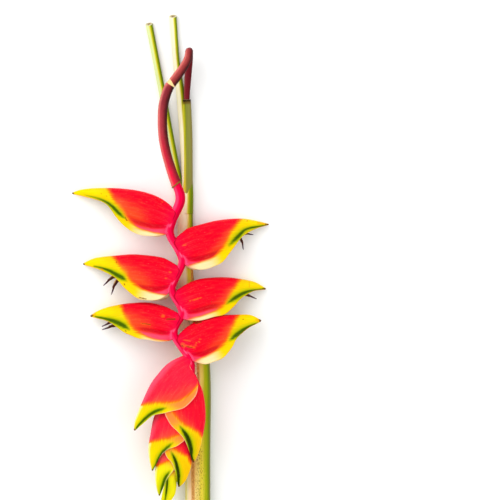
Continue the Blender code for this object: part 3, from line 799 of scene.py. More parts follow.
# %% Where each coat of a bract grows
# Along is the share from base to tip, down the share from keel to lip, and the others are in mm
BRACT_FADES = (
    # Orange spreads from the yellow edge into the scarlet; on the left bracts, which face the light, it
    # reaches further as painted light, and it covers the two youngest to lift them out of their shade
    ("glow", "any", "near_yellow", (ramp, "down", 0.05, 0.5), (ramp, "along", 0.12, 0.32)),
    ("glow", "youngest", 1),
    ("keel", "open", 1, (ramp, "down", 0.3, 0)),
    # On the right nested bracts the keel's red is painted shade that reaches almost to the lip
    ("keel", "nested right", 1, (ramp, "down", 0.9, 0)),
    # The left nested bracts face the light, so a painted highlight runs along their keels
    ("keel_highlight_pink", "nested left", 1, (ramp, "down", 0.24, 0)),
    ("keel_highlight_pale", "nested left", "keel_highlight_pink", (ramp, "past_red", 0, 2)),
    ("golden", "golden", 1, (ramp, "past_red", 2, 7)),
    ("young", "youngest", 1, (ramp, "past_red", 0, 4)),
    # Painted shade in the notch where the bract meets the rachis
    ("base_shade_line", "any", 1, (bump, "along", 0.022, 0.014), (ramp, "down", 0.6, 0.4)),
    # A painted pink highlight on the ridge of the bract's base
    ("base_ridge_highlight", "any", 1, (bump, "along", 0.05, 0.02), (ramp, "down", 0.55, 0.7)),
    ("near_rachis", "any", 1, (ramp, "along", 0.16, 0)),
    # Darker red in the crease: partly its own colour, partly painted shade in the fold
    (
        "crease_colour_and_shade", "open", 1,
        (bump, "down", 0.735, 0.06), (ramp, "along", 0.5, 0.28), (ramp, "along", 0.02, 0.1),
    ),
    ("rose_and_highlight", "open", 1, (ramp, "down", 0.76, 0.84), (ramp, "along", 0.45, 0.3)),
    # On the left nested bracts and the youngest this pink is a painted highlight that lightens the red
    ("rose_and_highlight", "nested left", 0.2),
    ("rose_and_highlight", "youngest", 0.5),
    ("cream", "open", 1, (ramp, "past_red", -0.4, 2.4), (ramp, "along", 0.42, 0.2)),
    ("cream", "nested", 1, (ramp, "past_red", -0.4, 2.4), (ramp, "along", 0.66, 0.42)),
    ("edge_line", "open", 1, (ramp, "from_lip", 0.8, 0.1), (ramp, "along", 0.3, 0.5)),
    # A thin painted highlight along the lips of the nested bracts
    (
        "lip_edge_highlight", "nested", 1,
        (ramp, "from_lip", 0.8, 0.1), (ramp, "along", 0.1, 0.3), (ramp, "along", 0.9, 0.7),
    ),
    ("tip", "any", 1, (ramp, "along", 0.97, 0.99)),
    ("freckled", "any", 0.25),
    # The red and the green of the outside shine through the flesh
    ("inside", "any", "hollow_side", (ramp, "from_lip", 0.2, 2.2)),
    ("inside_glow", "any", "inside", (ramp, "past_red", 8, -2)),
    ("inside_green", "any", "inside", (ramp, "green_halo", 0.05, 0.6)),
)

# %% The attributes of a bract
# The right nested bracts are in shade: for them and for the others
HALO_WIDTH = {True: 2.5, False: 2.8}
DARK_GREEN = {True: 1, False: 0.45}
# For nested and for open bracts
NEAR_YELLOW = {True: 0.75, False: 1}
SQUEEZE = {True: 0.2, False: 1.6}
SQUEEZE_FADES = (0.45, 0.25)
GLOW_POWER = 1.2
INSIDE_GRAIN = 7


def bract_fields(spec, points, down, inside):
    """The attributes of one bract, by name, for its stations by loop."""
    side = spec["side"]
    nested = spec.get("nested", False)
    shaded = nested and side > 0
    kinds = {"any", spec.get("also"), "nested" if nested else "open"}
    if nested:
        kinds.add("nested right" if shaded else "nested left")
    # The second half of the outside faces up
    facing_up = slice(SIDE_POINTS - 1, OUTSIDE)
    seen = points[:, facing_up]
    x, y = (values.ravel() for values in on_plan(seen))
    past, _ = from_line(spec["yellow_edge"], x, y)
    across, piece = from_line(spec["green"][:, :2], x, y)
    stripe = smooth_curve(spec["green"])
    width, strength = stripe[piece, 2], np.clip(stripe[piece, 3], 0, 1)
    beyond = np.hypot(x - stripe[piece, 0], y - stripe[piece, 1])
    off = np.maximum(np.abs(across), np.where((piece == 0) | (piece >= len(stripe) - 2), beyond, 0))
    drawn = {
        "past_red": past * -side,
        "green": strength * bump(0, width, off),
        "green_halo": strength * bump(0, width * HALO_WIDTH[shaded], off),
        "amber": near_marks(spec["amber"], x, y),
        "scorch": near_marks(spec["scorch"], x, y),
    }
    fields = {}
    for key, values in drawn.items():
        rows = values.reshape(seen.shape[:2])
        fields[key] = np.array([np.interp(down[0], down[0, facing_up], row) for row in rows])
    keel, lip = keel_and_lip(spec)
    along = np.tile(ALONG, (1, down.shape[1]))
    depth_mm = (np.linalg.norm(keel - lip, axis=1) * UNIT / MM)[:, None]
    long_mm = line_length(keel) * UNIT / MM
    past = fields["past_red"]
    over = {
        "along": along, "down": down, "from_lip": (1 - down) * depth_mm, "hollow_side": inside,
        "near_yellow": NEAR_YELLOW[nested] * np.clip(1 + past / spec["glow"], 0, 1) ** GLOW_POWER,
    }
    # The orange between red and cream is a thin line, and broader between red and yellow
    fields["past_red"] = np.where(past < 0, past * (1 + SQUEEZE[nested] * ramp(*SQUEEZE_FADES, along)), past)
    fields["dark_green"] = fields["green"] * DARK_GREEN[shaded]
    fields |= fades(BRACT_FADES, over | fields, kinds)
    fields = {key: values.ravel() for key, values in fields.items()}
    grain = [along * long_mm, down * depth_mm, inside * INSIDE_GRAIN]
    fields["grain"] = np.stack(grain, axis=-1).reshape(-1, 3)
    return fields


# %% Pieces and their attributes


def write_attributes(mesh, attributes):
    """Writes numbers or vectors to the points of a mesh."""
    for name, values in attributes.items():
        kind, key = ("FLOAT", "value") if values.ndim == 1 else ("FLOAT_VECTOR", "vector")
        layer = mesh.attributes.get(name) or mesh.attributes.new(name, kind, "POINT")
        layer.data.foreach_set(key, values.astype(np.float32).ravel())
    mesh.update()


def shown(name, data):
    """A new object at the origin that shows a mesh, a light or a camera."""
    made = bpy.data.objects.new(name, data)
    bpy.context.scene.collection.objects.link(made)
    return made


def stand_in_for(piece, node):
    """The finished piece takes the place of a node of the measured model."""
    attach(piece, "root")
    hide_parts(node)
    print(piece.name, len(piece.data.polygons), "faces")


# %% Build the twelve bracts
for number, (bract_name, bract_spec) in enumerate(BRACTS.items()):
    points, down, inside = bract_shell(bract_spec, seed=number)
    faces = shell_faces(*points.shape[:2])
    if bract_spec["side"] < 0:
        faces = [face[::-1] for face in faces]
    mesh = bpy.data.meshes.new("fine_" + bract_name)
    mesh.from_pydata(points.reshape(-1, 3).tolist(), [], faces)
    mesh.materials.append(BRACT_SKINS[bract_spec.get("nested", False)])
    mesh.polygons.foreach_set("use_smooth", [True] * len(faces))
    write_attributes(mesh, bract_fields(bract_spec, points, down, inside))
    stand_in_for(shown(mesh.name, mesh), bract_name)

# %% [markdown]
# ## Stems grow along a path
#
# The green stem, its leaf stalks, the flower stalk, the rachis and the dry flowers all follow a
# line and swell and thin along it. That is a rule, so one Geometry Nodes tree makes them all: it
# sweeps a ring along the line and raises fibres on it. The ring's own position is kept as an
# attribute, so that colours can run in bands along the stem.

# %% The tree: a stem along a path
FIBRE_DETAIL = 2


def new_tree(name, inputs, result):
    """A Geometry Nodes tree with these inputs and one result, and the sockets that give them."""
    tree = bpy.data.node_groups.new(name, "GeometryNodeTree")
    for label, kind in inputs.items():
        tree.interface.new_socket(label, in_out="INPUT", socket_type="NodeSocket" + kind)
    tree.interface.new_socket(result, in_out="OUTPUT", socket_type="NodeSocketGeometry")
    return tree, tree.nodes.new("NodeGroupInput").outputs


def stem_tree():
    tree, given = new_tree("stem along a path", {
        "Path": "Geometry", "Sides": "Int", "Flatness": "Float", "Fibres": "Float",
        "Fibre pace": "Float", "Fibre depth": "Float", "Skin": "Material",
    }, "Stem")
    line = add_node(tree, "GeometryNodeMeshToCurve", {"Mesh": given["Path"]})
    length = add_node(tree, "GeometryNodeSplineParameter", output="Length")
    kept = {"Geometry": line, "Name": "along", "Value": length}
    line = add_node(tree, "GeometryNodeStoreNamedAttribute", kept, data_type="FLOAT")
    ring = add_node(tree, "GeometryNodeCurvePrimitiveCircle", {"Resolution": given["Sides"], "Radius": 1})
    spot = add_node(tree, "GeometryNodeInputPosition")
    kept = {"Geometry": ring, "Name": "section", "Value": spot}
    ring = add_node(tree, "GeometryNodeStoreNamedAttribute", kept, data_type="FLOAT_VECTOR")
    flat = add_node(tree, "ShaderNodeCombineXYZ", {"X": 1, "Y": given["Flatness"], "Z": 1})
    pressed = add_node(tree, "ShaderNodeVectorMath", {0: spot, 1: flat}, operation="MULTIPLY")
    ring = add_node(tree, "GeometryNodeSetPosition", {"Geometry": ring, "Position": pressed})
    radius = add_node(tree, "GeometryNodeInputNamedAttribute", {"Name": "stem_radius"})
    swept = {"Curve": line, "Profile Curve": ring, "Scale": radius, "Fill Caps": True}
    stem = add_node(tree, "GeometryNodeCurveToMesh", swept)
    section = add_node(tree, "GeometryNodeInputNamedAttribute", {"Name": "section"}, data_type="FLOAT_VECTOR")
    along = add_node(tree, "GeometryNodeInputNamedAttribute", {"Name": "along"})
    around = add_node(tree, "ShaderNodeVectorMath", {0: section, 3: given["Fibres"]}, operation="SCALE")
    far = add_node(tree, "ShaderNodeMath", {0: along, 1: given["Fibre pace"]}, operation="MULTIPLY")
    far = add_node(tree, "ShaderNodeCombineXYZ", {"Z": far})
    spot_in_noise = add_node(tree, "ShaderNodeVectorMath", {0: around, 1: far}, operation="ADD")
    noise = {"Vector": spot_in_noise, "Scale": 1, "Detail": FIBRE_DETAIL}
    noise = add_node(tree, "ShaderNodeTexNoise", noise, "Fac")
    level = add_node(tree, "ShaderNodeMath", {0: noise, 1: NOISE_MIDDLE}, operation="SUBTRACT")
    level = add_node(tree, "ShaderNodeMath", {0: level, 1: given["Fibre depth"]}, operation="MULTIPLY")
    normal = add_node(tree, "GeometryNodeInputNormal")
    raised = add_node(tree, "ShaderNodeVectorMath", {0: normal, 3: level}, operation="SCALE")
    stem = add_node(tree, "GeometryNodeSetPosition", {"Geometry": stem, "Offset": raised})
    stem = add_node(tree, "GeometryNodeRealizeInstances", {"Geometry": stem})
    stem = add_node(tree, "GeometryNodeSetMaterial", {"Geometry": stem, "Material": given["Skin"]})
    add_node(tree, "NodeGroupOutput", {"Stem": stem}, None)
    return tree


STEM_TREE = stem_tree()
print("stem tree:", len(STEM_TREE.nodes), "nodes")

# %% Run a tree on an object and keep a plain mesh


def run_tree(thing, tree, inputs, name):
    """The plain mesh that the tree makes of an object, as a new object in its place."""
    step = thing.modifiers.new(tree.name, "NODES")
    step.node_group = tree
    for socket in tree.interface.items_tree:
        if socket.name in inputs:
            step[socket.identifier] = inputs[socket.name]
    graph = bpy.context.evaluated_depsgraph_get()
    mesh = bpy.data.meshes.new_from_object(thing.evaluated_get(graph))
    mesh.name = name
    # A cone that a tree makes brings an empty material slot along, so only the skin's own is kept
    mesh.materials.clear()
    mesh.materials.append(inputs["Skin"])
    mesh.polygons.foreach_set("use_smooth", [True] * len(mesh.polygons))
    bpy.data.objects.remove(thing, do_unlink=True)
    return shown(name, mesh)


def read_points(mesh):
    values = np.empty(len(mesh.vertices) * 3)
    mesh.vertices.foreach_get("co", values)
    return values.reshape(-1, 3)


def read_attribute(mesh, name, width=1):
    values = np.empty(len(mesh.vertices) * width)
    mesh.attributes[name].data.foreach_get("value" if width == 1 else "vector", values)
    return values if width == 1 else values.reshape(-1, width)


# %% A stem from a line of points
# How the radius shrinks over a cut end, from the rim to the middle
CUT_SHARES = np.array((0.97, 0.9, 0.76, 0.6, 0.44, 0.28, 0.14, 0.02))
CUT_STEP = 0.03 * MM
SLANT_REACH = 3
STEM_SHAPE = {"Sides": 64, "Flatness": 1.0, "Fibres": 6.0, "Fibre pace": 30.0, "Fibre depth": 0.0}


def at_ends(values, length):
    """Values for both cut ends, in order along the line, and 0 in between."""
    return np.concatenate([values[::-1], np.zeros(length), values])


def grown_stem(name, line, radii, material, cuts=(None, None), **shape):
    """Sweeps a stem along a line, with its radii, and returns it.

    A cut is a vector that slants that end: points on the side that it points to move outwards.
    """
    outward = [line[0] - line[1], line[-1] - line[-2]]
    outward = [way / np.linalg.norm(way) for way in outward]
    steps = np.arange(1, len(CUT_SHARES) + 1)[:, None] * CUT_STEP
    points = np.vstack([(line[0] + outward[0] * steps)[::-1], line, line[-1] + outward[1] * steps])
    ends = np.arange(len(points))
    mesh = bpy.data.meshes.new(name + " line")
    mesh.from_pydata(points.tolist(), [], [])
    mesh.edges.add(len(points) - 1)
    mesh.edges.foreach_set("vertices", np.stack([ends[:-1], ends[1:]], axis=-1).ravel())
    write_attributes(mesh, {
        "stem_radius": np.concatenate([CUT_SHARES[::-1] * radii[0], radii, CUT_SHARES * radii[-1]]),
        "cut": at_ends(1 - CUT_SHARES / 2, len(line)),
        "layers": at_ends(np.arange(len(CUT_SHARES)) % 2, len(line)),
    })
    inputs = STEM_SHAPE | {"Skin": material}
    inputs |= {label.replace("_", " ").capitalize(): value for label, value in shape.items()}
    stem = run_tree(shown(name + " line", mesh), STEM_TREE, inputs, name)
    for end, way, slant in zip((0, -1), outward, cuts):
        if slant is not None:
            places = read_points(stem.data)
            from_end = (line[end] - places) @ way
            fade = np.clip(1 - from_end / (SLANT_REACH * radii[end]), 0, 1)
            fade *= np.linalg.norm(places - line[end], axis=1) < 2 * SLANT_REACH * radii[end]
            moved = places + way * (((places - line[end]) @ np.array(slant)) * fade)[:, None]
            stem.data.vertices.foreach_set("co", moved.ravel())
    section = read_attribute(stem.data, "section", 3)
    radius = read_attribute(stem.data, "stem_radius")
    along = read_attribute(stem.data, "along")
    grain = np.stack([along, section[:, 0] * radius, section[:, 1] * radius], axis=-1) / MM
    write_attributes(stem.data, {"grain": grain})
    return stem


# %% [markdown]
# ## The green stem
#
# What looks like a stem is a roll of leaf sheaths. Each sheath ends in a dry brown margin that laps
# over the next one, and its colours run in bands: cream where it was shaded, yellow-green, and deep
# green on the sunny side. The bands are coats on how far across the stem a point lies. A pale pinkish
# band on the left is partly a painted highlight, and the grey right edge is painted shade.

# %% Skin of the stem
# A leaf sheath is smooth under a thin wax, so it shines softly and its fibres show as fine lines
STEM_SURFACE = {
    "Roughness": 0.42, "IOR": 1.45, "Specular IOR Level": 0.06,
    "Subsurface Weight": 0.05, "Subsurface Scale": 0.002,
}
# In turns per mm: fibres 0.4 mm apart, flecks a little over a millimetre wide, specks under one
STEM_NOISES = {
    "edges": (0.035, 0.9, 0.9), "lines": (0.03, 2.6, 2.6),
    "flecks": (0.45, 0.8, 0.8), "specks": (0.6, 1.1, 1.1),
}
STEM_COATS = (
    ("minty", 0, 1, "edges", 0.3, 0.95, "#D4E09A"),
    ("far_left", 0, 1, "edges", 0.4, 0.8, "#DECB50"),
    # A pinkish cream band, partly the sheath's colour and partly a painted highlight from the left
    ("blush_and_highlight", 0.2, 1, "edges", 0.4, 0.8, "#F6CFA0"),
    ("yellow", -0.2, 0.25, "edges", 0.25, 0.95, "#DACC18"),
    ("sand", 0.25, 0.9, "edges", 0.6, 0.8, "#E6C860"),
    ("green", -0.15, 0.12, "edges", 0.2, 0.95, "#9EA600"),
    ("green", 0.12, 0.4, "edges", 0.2, 0.95, "#647C00"),
    ("underside", 0, 1, "edges", 0.3, 0.6, "#9AA030"),
    # The sheath round the flower stalk lies in shade, painted as a dull olive
    ("sheath_shade", 0, 1, "edges", 0.3, 0.85, "#8F8C40"),
    # Painted shade on the right edge of each stem, away from the light
    ("grey_shade_edge", 0.3, 0.8, "edges", 0.3, 0.85, "#857A40"),
    ("tan", 0.35, 0.8, "edges", 0.5, 0.9, "#DC9C4C"),
    ("tan", 0.8, 1.1, "flecks", 0.9, 0.8, "#A0602C"),
    ("mottled", 0.5, 0.75, "flecks", 1.3, 0.3, "#DCB048"),
    ("mottled", 0.84, 0.98, "specks", 2, 0.75, "#86641A"),
    ("mouth", 0.1, 0.5, "edges", 0.6, 0.8, "#6A4A14"),
    ("mouth", 0.6, 0.95, "edges", 0.6, 0.9, "#2A160A"),
    ("cut", 0.4, 0.56, "edges", 0.1, 1, "#EFE6C0"),
    ("cut", 0.6, 0.85, "flecks", 0.5, 0.8, "#A88040"),
    ("layers", 0.35, 0.75, "edges", 0.3, 0.75, "#6E5A22"),
    ("cut", 0.85, 0.97, "flecks", 0.5, 0.9, "#5A3A16"),
)
stem_skin = skin(
    "rolled leaf sheath", "#F8F0C8", STEM_COATS, STEM_NOISES, STEM_SURFACE, darkest=0.86, relief=0.35,
)

# %% Rolled sheaths and leaf stalks
# x, y and radius of each, with the height in mm before the radius of the sheath round the flower stalk
PSEUDOSTEM = (
    (186.4, 196, 6.4), (185, 230, 7.6), (185, 275, 8.1), (188.6, 306, 10.6), (192.6, 336, 12.8),
    (196, 363, 13.6), (197.4, 400, 13.4), (197.6, 440, 12.7), (197.6, 500, 12.5), (198, 545, 12.4),
)
LEFT_STALK = (
    (148.6, 23.2, 3.6), (155, 56, 3.4), (163, 98, 3.5), (170.6, 140, 3.6), (177, 175, 3.9), (182, 208, 4.4),
)
RIGHT_STALK = (
    (172.6, 15.4, 3.7), (176.2, 61, 3.3), (180.6, 96, 4.4), (185, 148, 5), (187.4, 188, 5.6), (187, 214, 6),
)
SHEATH = (
    (186.5, 99, 7.5, 4.1), (187.3, 122, 6.4, 4.5), (187.6, 150, 5.6, 4.9),
    (187.4, 182, 5, 5.2), (186.8, 206, 4.6, 5.3),
)
STEM_FLATNESS = 0.78
STALK_FLATNESS = 0.95
OBLIQUE_CUT = (0, 0, -0.5)

# %% Bands along each stem
# At each y: where yellow and green begin across the stem, from -1 at its left to 1 at its right,
# then the middle and half width of the tan margin, and the same of the mottled part
BANDS = {
    "rolled_sheaths": (
        (190, 0.25, 0.45, 0.2, 0.1, -3, 0.2), (215, 0.28, 0.45, 0.2, 0.12, -3, 0.2),
        (245, 0.1, 0.75, 0.55, 0.13, -3, 0.2), (272, 0.15, 1.1, 0.9, 0.14, -3, 0.2),
        (310, 0.1, 0.7, 0.35, 0.12, -0.2, 0.2), (345, 0.1, 0.55, 0.15, 0.1, 0, 0.2),
        (380, 0.2, 0.5, 0.12, 0.09, 0, 0.2), (420, 0.05, 0.46, -0.15, 0.11, 0, 0.35),
        (455, 0, 0.5, -0.33, 0.14, 0.1, 0.45), (470, 0, 0.5, -0.36, 0.15, 0.1, 0.5),
        (545, 0, 0.54, -0.36, 0.16, 0.1, 0.5),
    ),
    "left_leaf_stalk": ((0, -0.15, 0.22, -3, 0.1, -3, 0.1),),
    "right_leaf_stalk": (
        (60, 0, 0.32, -1.02, 0.12, -3, 0.1), (105, -0.1, 0.18, -1.02, 0.1, -3, 0.1),
    ),
    "stalk_sheath": (
        (90, -1.3, -0.75, -3, 0.1, -3, 0.2), (140, -1.3, -0.6, -3, 0.1, -3, 0.2),
        (200, -1, -0.1, -3, 0.1, -3, 0.2),
    ),
}
# Across and up run from -1 to 1 over a stem, and y and from_top along it
STEM_FADES = (
    ("far_left", "rolled_sheaths", 1, (ramp, "across", -0.7, -1), (ramp, "y", 300, 380)),
    # Partly a painted highlight on the left of the stem
    ("blush_and_highlight", "rolled_sheaths", "facing", (bump, "across", -0.62, 0.14), (ramp, "y", 300, 380)),
    ("sand", "rolled_sheaths", "facing", (bump, "past_tan", 0.26, 0.14)),
    # Painted shade on the right edge, and over most of the sheath round the flower stalk
    ("grey_shade_edge", "any", 1, (ramp, "across", 0.8, 1)),
    ("grey_shade_edge", "stalk_sheath", 1, (ramp, "across", 0.1, 1)),
    ("underside", "any", 1, (ramp, "up", -0.1, -0.6)),
    ("mouth", "stalk_sheath", 1, (ramp, "from_top", 7, 0.5)),
    # Painted shade: the sheath lies in the shade of the stalks
    ("sheath_shade", "stalk_sheath", 1, (ramp, "across", -0.7, 0)),
    ("minty", "left_leaf_stalk", 1),
)

# %% Bands and laps of one stem
FACING = (-0.1, 0.3)
MOTTLED = 0.8
SHADED_TAN = 0.55
SUNLIT_FROM = (240, 270)
LAP_HEIGHT = 0.5 * MM
LAP_WIDTH = 0.06
LAP_SINKS = 0.6
LAP_SIDEWAYS = 0.4
LAP_FACING = (0, 0.35)
LAP_FROM = (196, 206)


def finish_stem(stem, table):
    """Writes the bands of a stem, and lets its outer sheath lap over the inner one."""
    line = smooth_path(table, TABLE_STEPS)
    points = read_points(stem.data)
    x, y = on_plan(points)
    middle, radius = (np.interp(y, line[:, 1], line[:, column]) for column in (0, 2))
    across = (x - middle) / radius
    up = read_attribute(stem.data, "section", 3)[:, 1]
    up = up * np.sign(np.dot(up, points[:, 2] - points[:, 2].mean()))
    rows = np.array(BANDS[stem.name]).T
    yellow, green, tan, tan_width, mottled, mottled_width = (np.interp(y, rows[0], row) for row in rows[1:])
    facing = ramp(*FACING, up)
    over = {
        "across": across, "y": y, "up": up, "facing": facing,
        "past_tan": across - tan, "from_top": y - table[0][1],
    }
    fields = fades(STEM_FADES, over, {"any", stem.name})
    fields["yellow"] = across - yellow
    fields["green"] = across - green
    sunlit = SHADED_TAN + (1 - SHADED_TAN) * ramp(*SUNLIT_FROM, y)
    fields["tan"] = bump(tan, tan_width, across) * facing * sunlit
    fields["mottled"] = bump(mottled, mottled_width, across) * facing * MOTTLED
    if stem.name == "rolled_sheaths":
        lap = ramp(0, LAP_WIDTH, across - (tan - tan_width)) - LAP_SINKS
        lap = LAP_HEIGHT * lap * ramp(*LAP_FACING, up) * ramp(*LAP_FROM, y)
        away = np.stack([across * LAP_SIDEWAYS, 0 * across, np.maximum(up, 0)], axis=-1)
        stem.data.vertices.foreach_set("co", (points + away * lap[:, None]).ravel())
    write_attributes(stem.data, fields)
    return stem


# %% Build the stem, its two stalks and the sheath
STEM_STEPS = 300
STALK_STEPS = 150
SHEATH_STEPS = 70


def lying_stem(name, table, count, flatness, cuts=(None, None), **shape):
    """A stem or stalk whose underside lies along the table."""
    path = smooth_path(table, count)
    radii = path[:, 2] * UNIT
    line = place(path[:, 0], path[:, 1], radii * flatness)
    stem = grown_stem(name, line, radii, stem_skin, cuts, flatness=float(flatness), **shape)
    return finish_stem(stem, table)


def path_with_heights(table, count):
    """Points of a path whose heights in mm count in its length too, and its radii."""
    lifted = [(x, y, height * MM / UNIT, radius) for x, y, height, radius in table]
    path = smooth_path(lifted, count, measured=3)
    return place(path[:, 0], path[:, 1], path[:, 2] * UNIT), path[:, 3]


stalk_shape = {"sides": 48, "fibres": 5.0, "fibre_pace": 9.0, "fibre_depth": 0.3 * MM}
stem_shape = {"sides": 96, "fibres": 9.0, "fibre_pace": 9.0, "fibre_depth": 0.7 * MM}
stem_pieces = [lying_stem("rolled_sheaths", PSEUDOSTEM, STEM_STEPS, STEM_FLATNESS, **stem_shape)]
for stalk_name, stalk in (("left_leaf_stalk", LEFT_STALK), ("right_leaf_stalk", RIGHT_STALK)):
    cuts = (OBLIQUE_CUT, None)
    stem_pieces.append(lying_stem(stalk_name, stalk, STALK_STEPS, STALK_FLATNESS, cuts, **stalk_shape))
sheath_line, sheath_radii = path_with_heights(SHEATH, SHEATH_STEPS)
sheath = grown_stem("stalk_sheath", sheath_line, sheath_radii * UNIT, stem_skin, **stalk_shape)
stem_pieces.append(finish_stem(sheath, [(x, y, radius) for x, y, height, radius in SHEATH]))
for piece in stem_pieces:
    stand_in_for(piece, "leaf_stem")

# %% [markdown]
# ## The flower stalk
#
# The bare stalk, or peduncle, is dusty maroon and velvety. It comes out of its sheath, hooks over
# and ends in a slanting sleeve, from which the rachis hangs. Where it turned, its skin has split in
# a pale ring. The velvet is real: short hairs, placed by a second Geometry Nodes tree.

# %% Skins of the flower stalk and the rachis
# Short hairs scatter the light, so the stalk looks dull and dusty, with a faint sheen at its sides
PEDUNCLE_SURFACE = {
    "Roughness": 0.6, "IOR": 1.4, "Specular IOR Level": 0.08,
    "Sheen Weight": 0.06, "Sheen Roughness": 0.4,
}
# The felt of hairs is too fine to show, so its grains are drawn 0.6 mm wide
PEDUNCLE_NOISES = {"edges": (0.3, 0.5, 0.5), "lines": (1.6, 1.6, 1.6), "flecks": (0.5, 1.2, 1.2)}
PEDUNCLE_COATS = (
    ("dusty", 0, 1, "edges", 0.3, 0.75, "#AC4A44"),
    ("redder", 0, 1, "edges", 0.3, 0.85, "#D01A38"),
    ("sleeve", 0, 1, "edges", 0.3, 0.9, "#F01440"),
    ("below_scar", 0, 1, "edges", 0.3, 0.7, "#7A2430"),
    ("lit", 0, 1, "edges", 0.3, 0.7, "#EC8078"),
    ("shaded", 0, 0.75, "edges", 0.3, 0.75, "#7A2024"),
    ("shaded", 0.5, 1.1, "edges", 0.3, 0.95, "#2A0A0A"),
    # Painted shade on the back leg of the hook
    ("back_leg_shade", 0, 1, "edges", 0.3, 0.7, "#6A0818"),
    ("rim", 0.35, 0.9, "flecks", 0.9, 1, "#8A6A20"),
    ("scar", 0.35, 0.6, "edges", 0.3, 1, "#FFDA98"),
    ("scar_shadow", 0.4, 0.8, "edges", 0.3, 0.9, "#2A0C0A"),
    ("cut", 0.4, 0.7, "edges", 0.1, 1, "#7A2030"),
)
peduncle_skin = skin(
    "velvety maroon stalk", "#B23A44", PEDUNCLE_COATS, PEDUNCLE_NOISES, PEDUNCLE_SURFACE,
    darkest=0.8, relief=0.3,
)
# The rachis has the dull wax of the bracts, so only its colours differ
RACHIS_NOISES = {"edges": (0.15, 0.5, 0.5), "lines": (0.12, 1.2, 1.2), "flecks": (0.5, 1, 1)}
RACHIS_COATS = (
    ("lit", 0, 1, "edges", 0.6, 0.6, "#FF5082"),
    ("shaded", 0, 1, "edges", 0.3, 0.8, "#C2002C"),
    # A pale painted highlight where each bract grows out of the rachis
    ("ridge_highlight", 0.3, 0.9, "edges", 0.5, 0.7, "#FF6A90"),
    ("cut", 0.4, 0.7, "edges", 0.1, 1, "#8A1030"),
)
rachis_skin = skin("waxy crimson rachis", "#F00040", RACHIS_COATS, RACHIS_NOISES, FLESH, darkest=0.86)

# %% The hooked stalk
# x, y, then the height and the radius in mm
PEDUNCLE = (
    (187.4, 114, 6.6, 2.3), (186.6, 99, 7.4, 2.5), (187.2, 84, 9, 2.9), (188.2, 70, 11, 3.2),
    (188.9, 60, 12.6, 3.3), (189.1, 53.6, 14.6, 3.35), (189.2, 51, 18.6, 3.35), (189, 53, 22.8, 3.4),
    (187.6, 59.4, 25.2, 3.5), (183.2, 67.6, 26.4, 3.7), (176.2, 77.6, 27, 4), (168.6, 88, 27, 4.3),
    (163.6, 104, 27, 4.2), (162.4, 120, 27, 4.15), (163.2, 136, 27, 4.15), (165.6, 150, 27, 4.15),
    (169.2, 163.4, 27, 4.2), (173, 175, 27, 4.4), (176.7, 184.8, 27, 4.5),
)
PEDUNCLE_STEPS = 260
SLEEVE_SLANT = 0.32
SLEEVE_FLARE = 0.35 * MM
FLARE_LENGTH = 5 * MM
LEAST_RADIAL = 0.1 * MM
LEAST_SIDEWAYS = 0.1
# The hook has a back and a front: how many steps before and after its top the front begins
COMES_TO_FRONT = (-6, 14)

line, radii = path_with_heights(PEDUNCLE, PEDUNCLE_STEPS)
radii = radii * MM + SLEEVE_FLARE * ramp(FLARE_LENGTH, 0, np.linalg.norm(line - line[-1], axis=1))
ways = np.gradient(line, axis=0)
ways /= np.linalg.norm(ways, axis=1)[:, None]
slant = SLEEVE_SLANT * np.cross(ways[-1], (0, 0, 1))
peduncle = grown_stem(
    "hooked_stalk", line, radii, peduncle_skin, cuts=(None, slant),
    fibres=3.0, fibre_pace=60.0, fibre_depth=0.3 * MM,
)
points = read_points(peduncle.data)
y = on_plan(points)[1]
nearest = np.argmin(np.linalg.norm(points[:, None] - line[None], axis=2), axis=1)
radial = points - line[nearest]
outward = radial / np.maximum(np.linalg.norm(radial, axis=1), LEAST_RADIAL)[:, None]
sideways = np.cross(ways[nearest], (0, 0, 1))
sideways *= np.sign(sideways[:, [0]])
sideways /= np.maximum(np.linalg.norm(sideways, axis=1), LEAST_SIDEWAYS)[:, None]
in_front = ramp(*COMES_TO_FRONT, nearest - np.argmax(line[:, 1]))
print("hooked stalk:", round(line_length(line) / MM), "mm long")

# %% The split in the skin and the colours of the stalk
AXIS_TOP = 27 * MM
# Both ends of a line across the stalk, and how the split narrows along it
SCAR_FROM = place(167.2, 79.6, AXIS_TOP)
SCAR_TO = place(174.6, 87.2, AXIS_TOP)
SCAR_WIDTHS = ((0, 1.7 * MM), (0.4, 1.4 * MM), (1, 0.35 * MM))
SCAR_DEPTH = 0.5 * MM
SCAR_REACH = 7 * MM
SCAR_FACING = (-0.6, 0.2)
LESS_SHADE = 0.2
LESS_SHADE_FROM = (120, 170)
RIM_FROM = 165
STALK_FADES = (
    ("lit", "any", 1, (ramp, "across", -0.25, -0.95), (ramp, "up", -0.3, 0.4)),
    ("shaded", "any", "shade", (ramp, "across", -0.8, 1)),
    # The back leg of the hook is painted darker as shade
    ("back_leg_shade", "any", "behind"),
    ("dusty", "any", "in_front", (ramp, "y", 92, 80)),
    ("below_scar", "any", "in_front", (ramp, "y", 84, 88), (ramp, "y", 122, 96)),
    ("redder", "any", "in_front", (ramp, "y", 118, 160)),
    ("sleeve", "any", "in_front", (ramp, "y", 160, 176)),
    ("rim", "any", "near_end", (ramp, "from_rim", 1.8, 0.4)),
    ("scar_shadow", "any", "on_scar", (bump, "beside_scar", 1.6, 0.8), (ramp, "scar_share", 0.3, 1)),
)

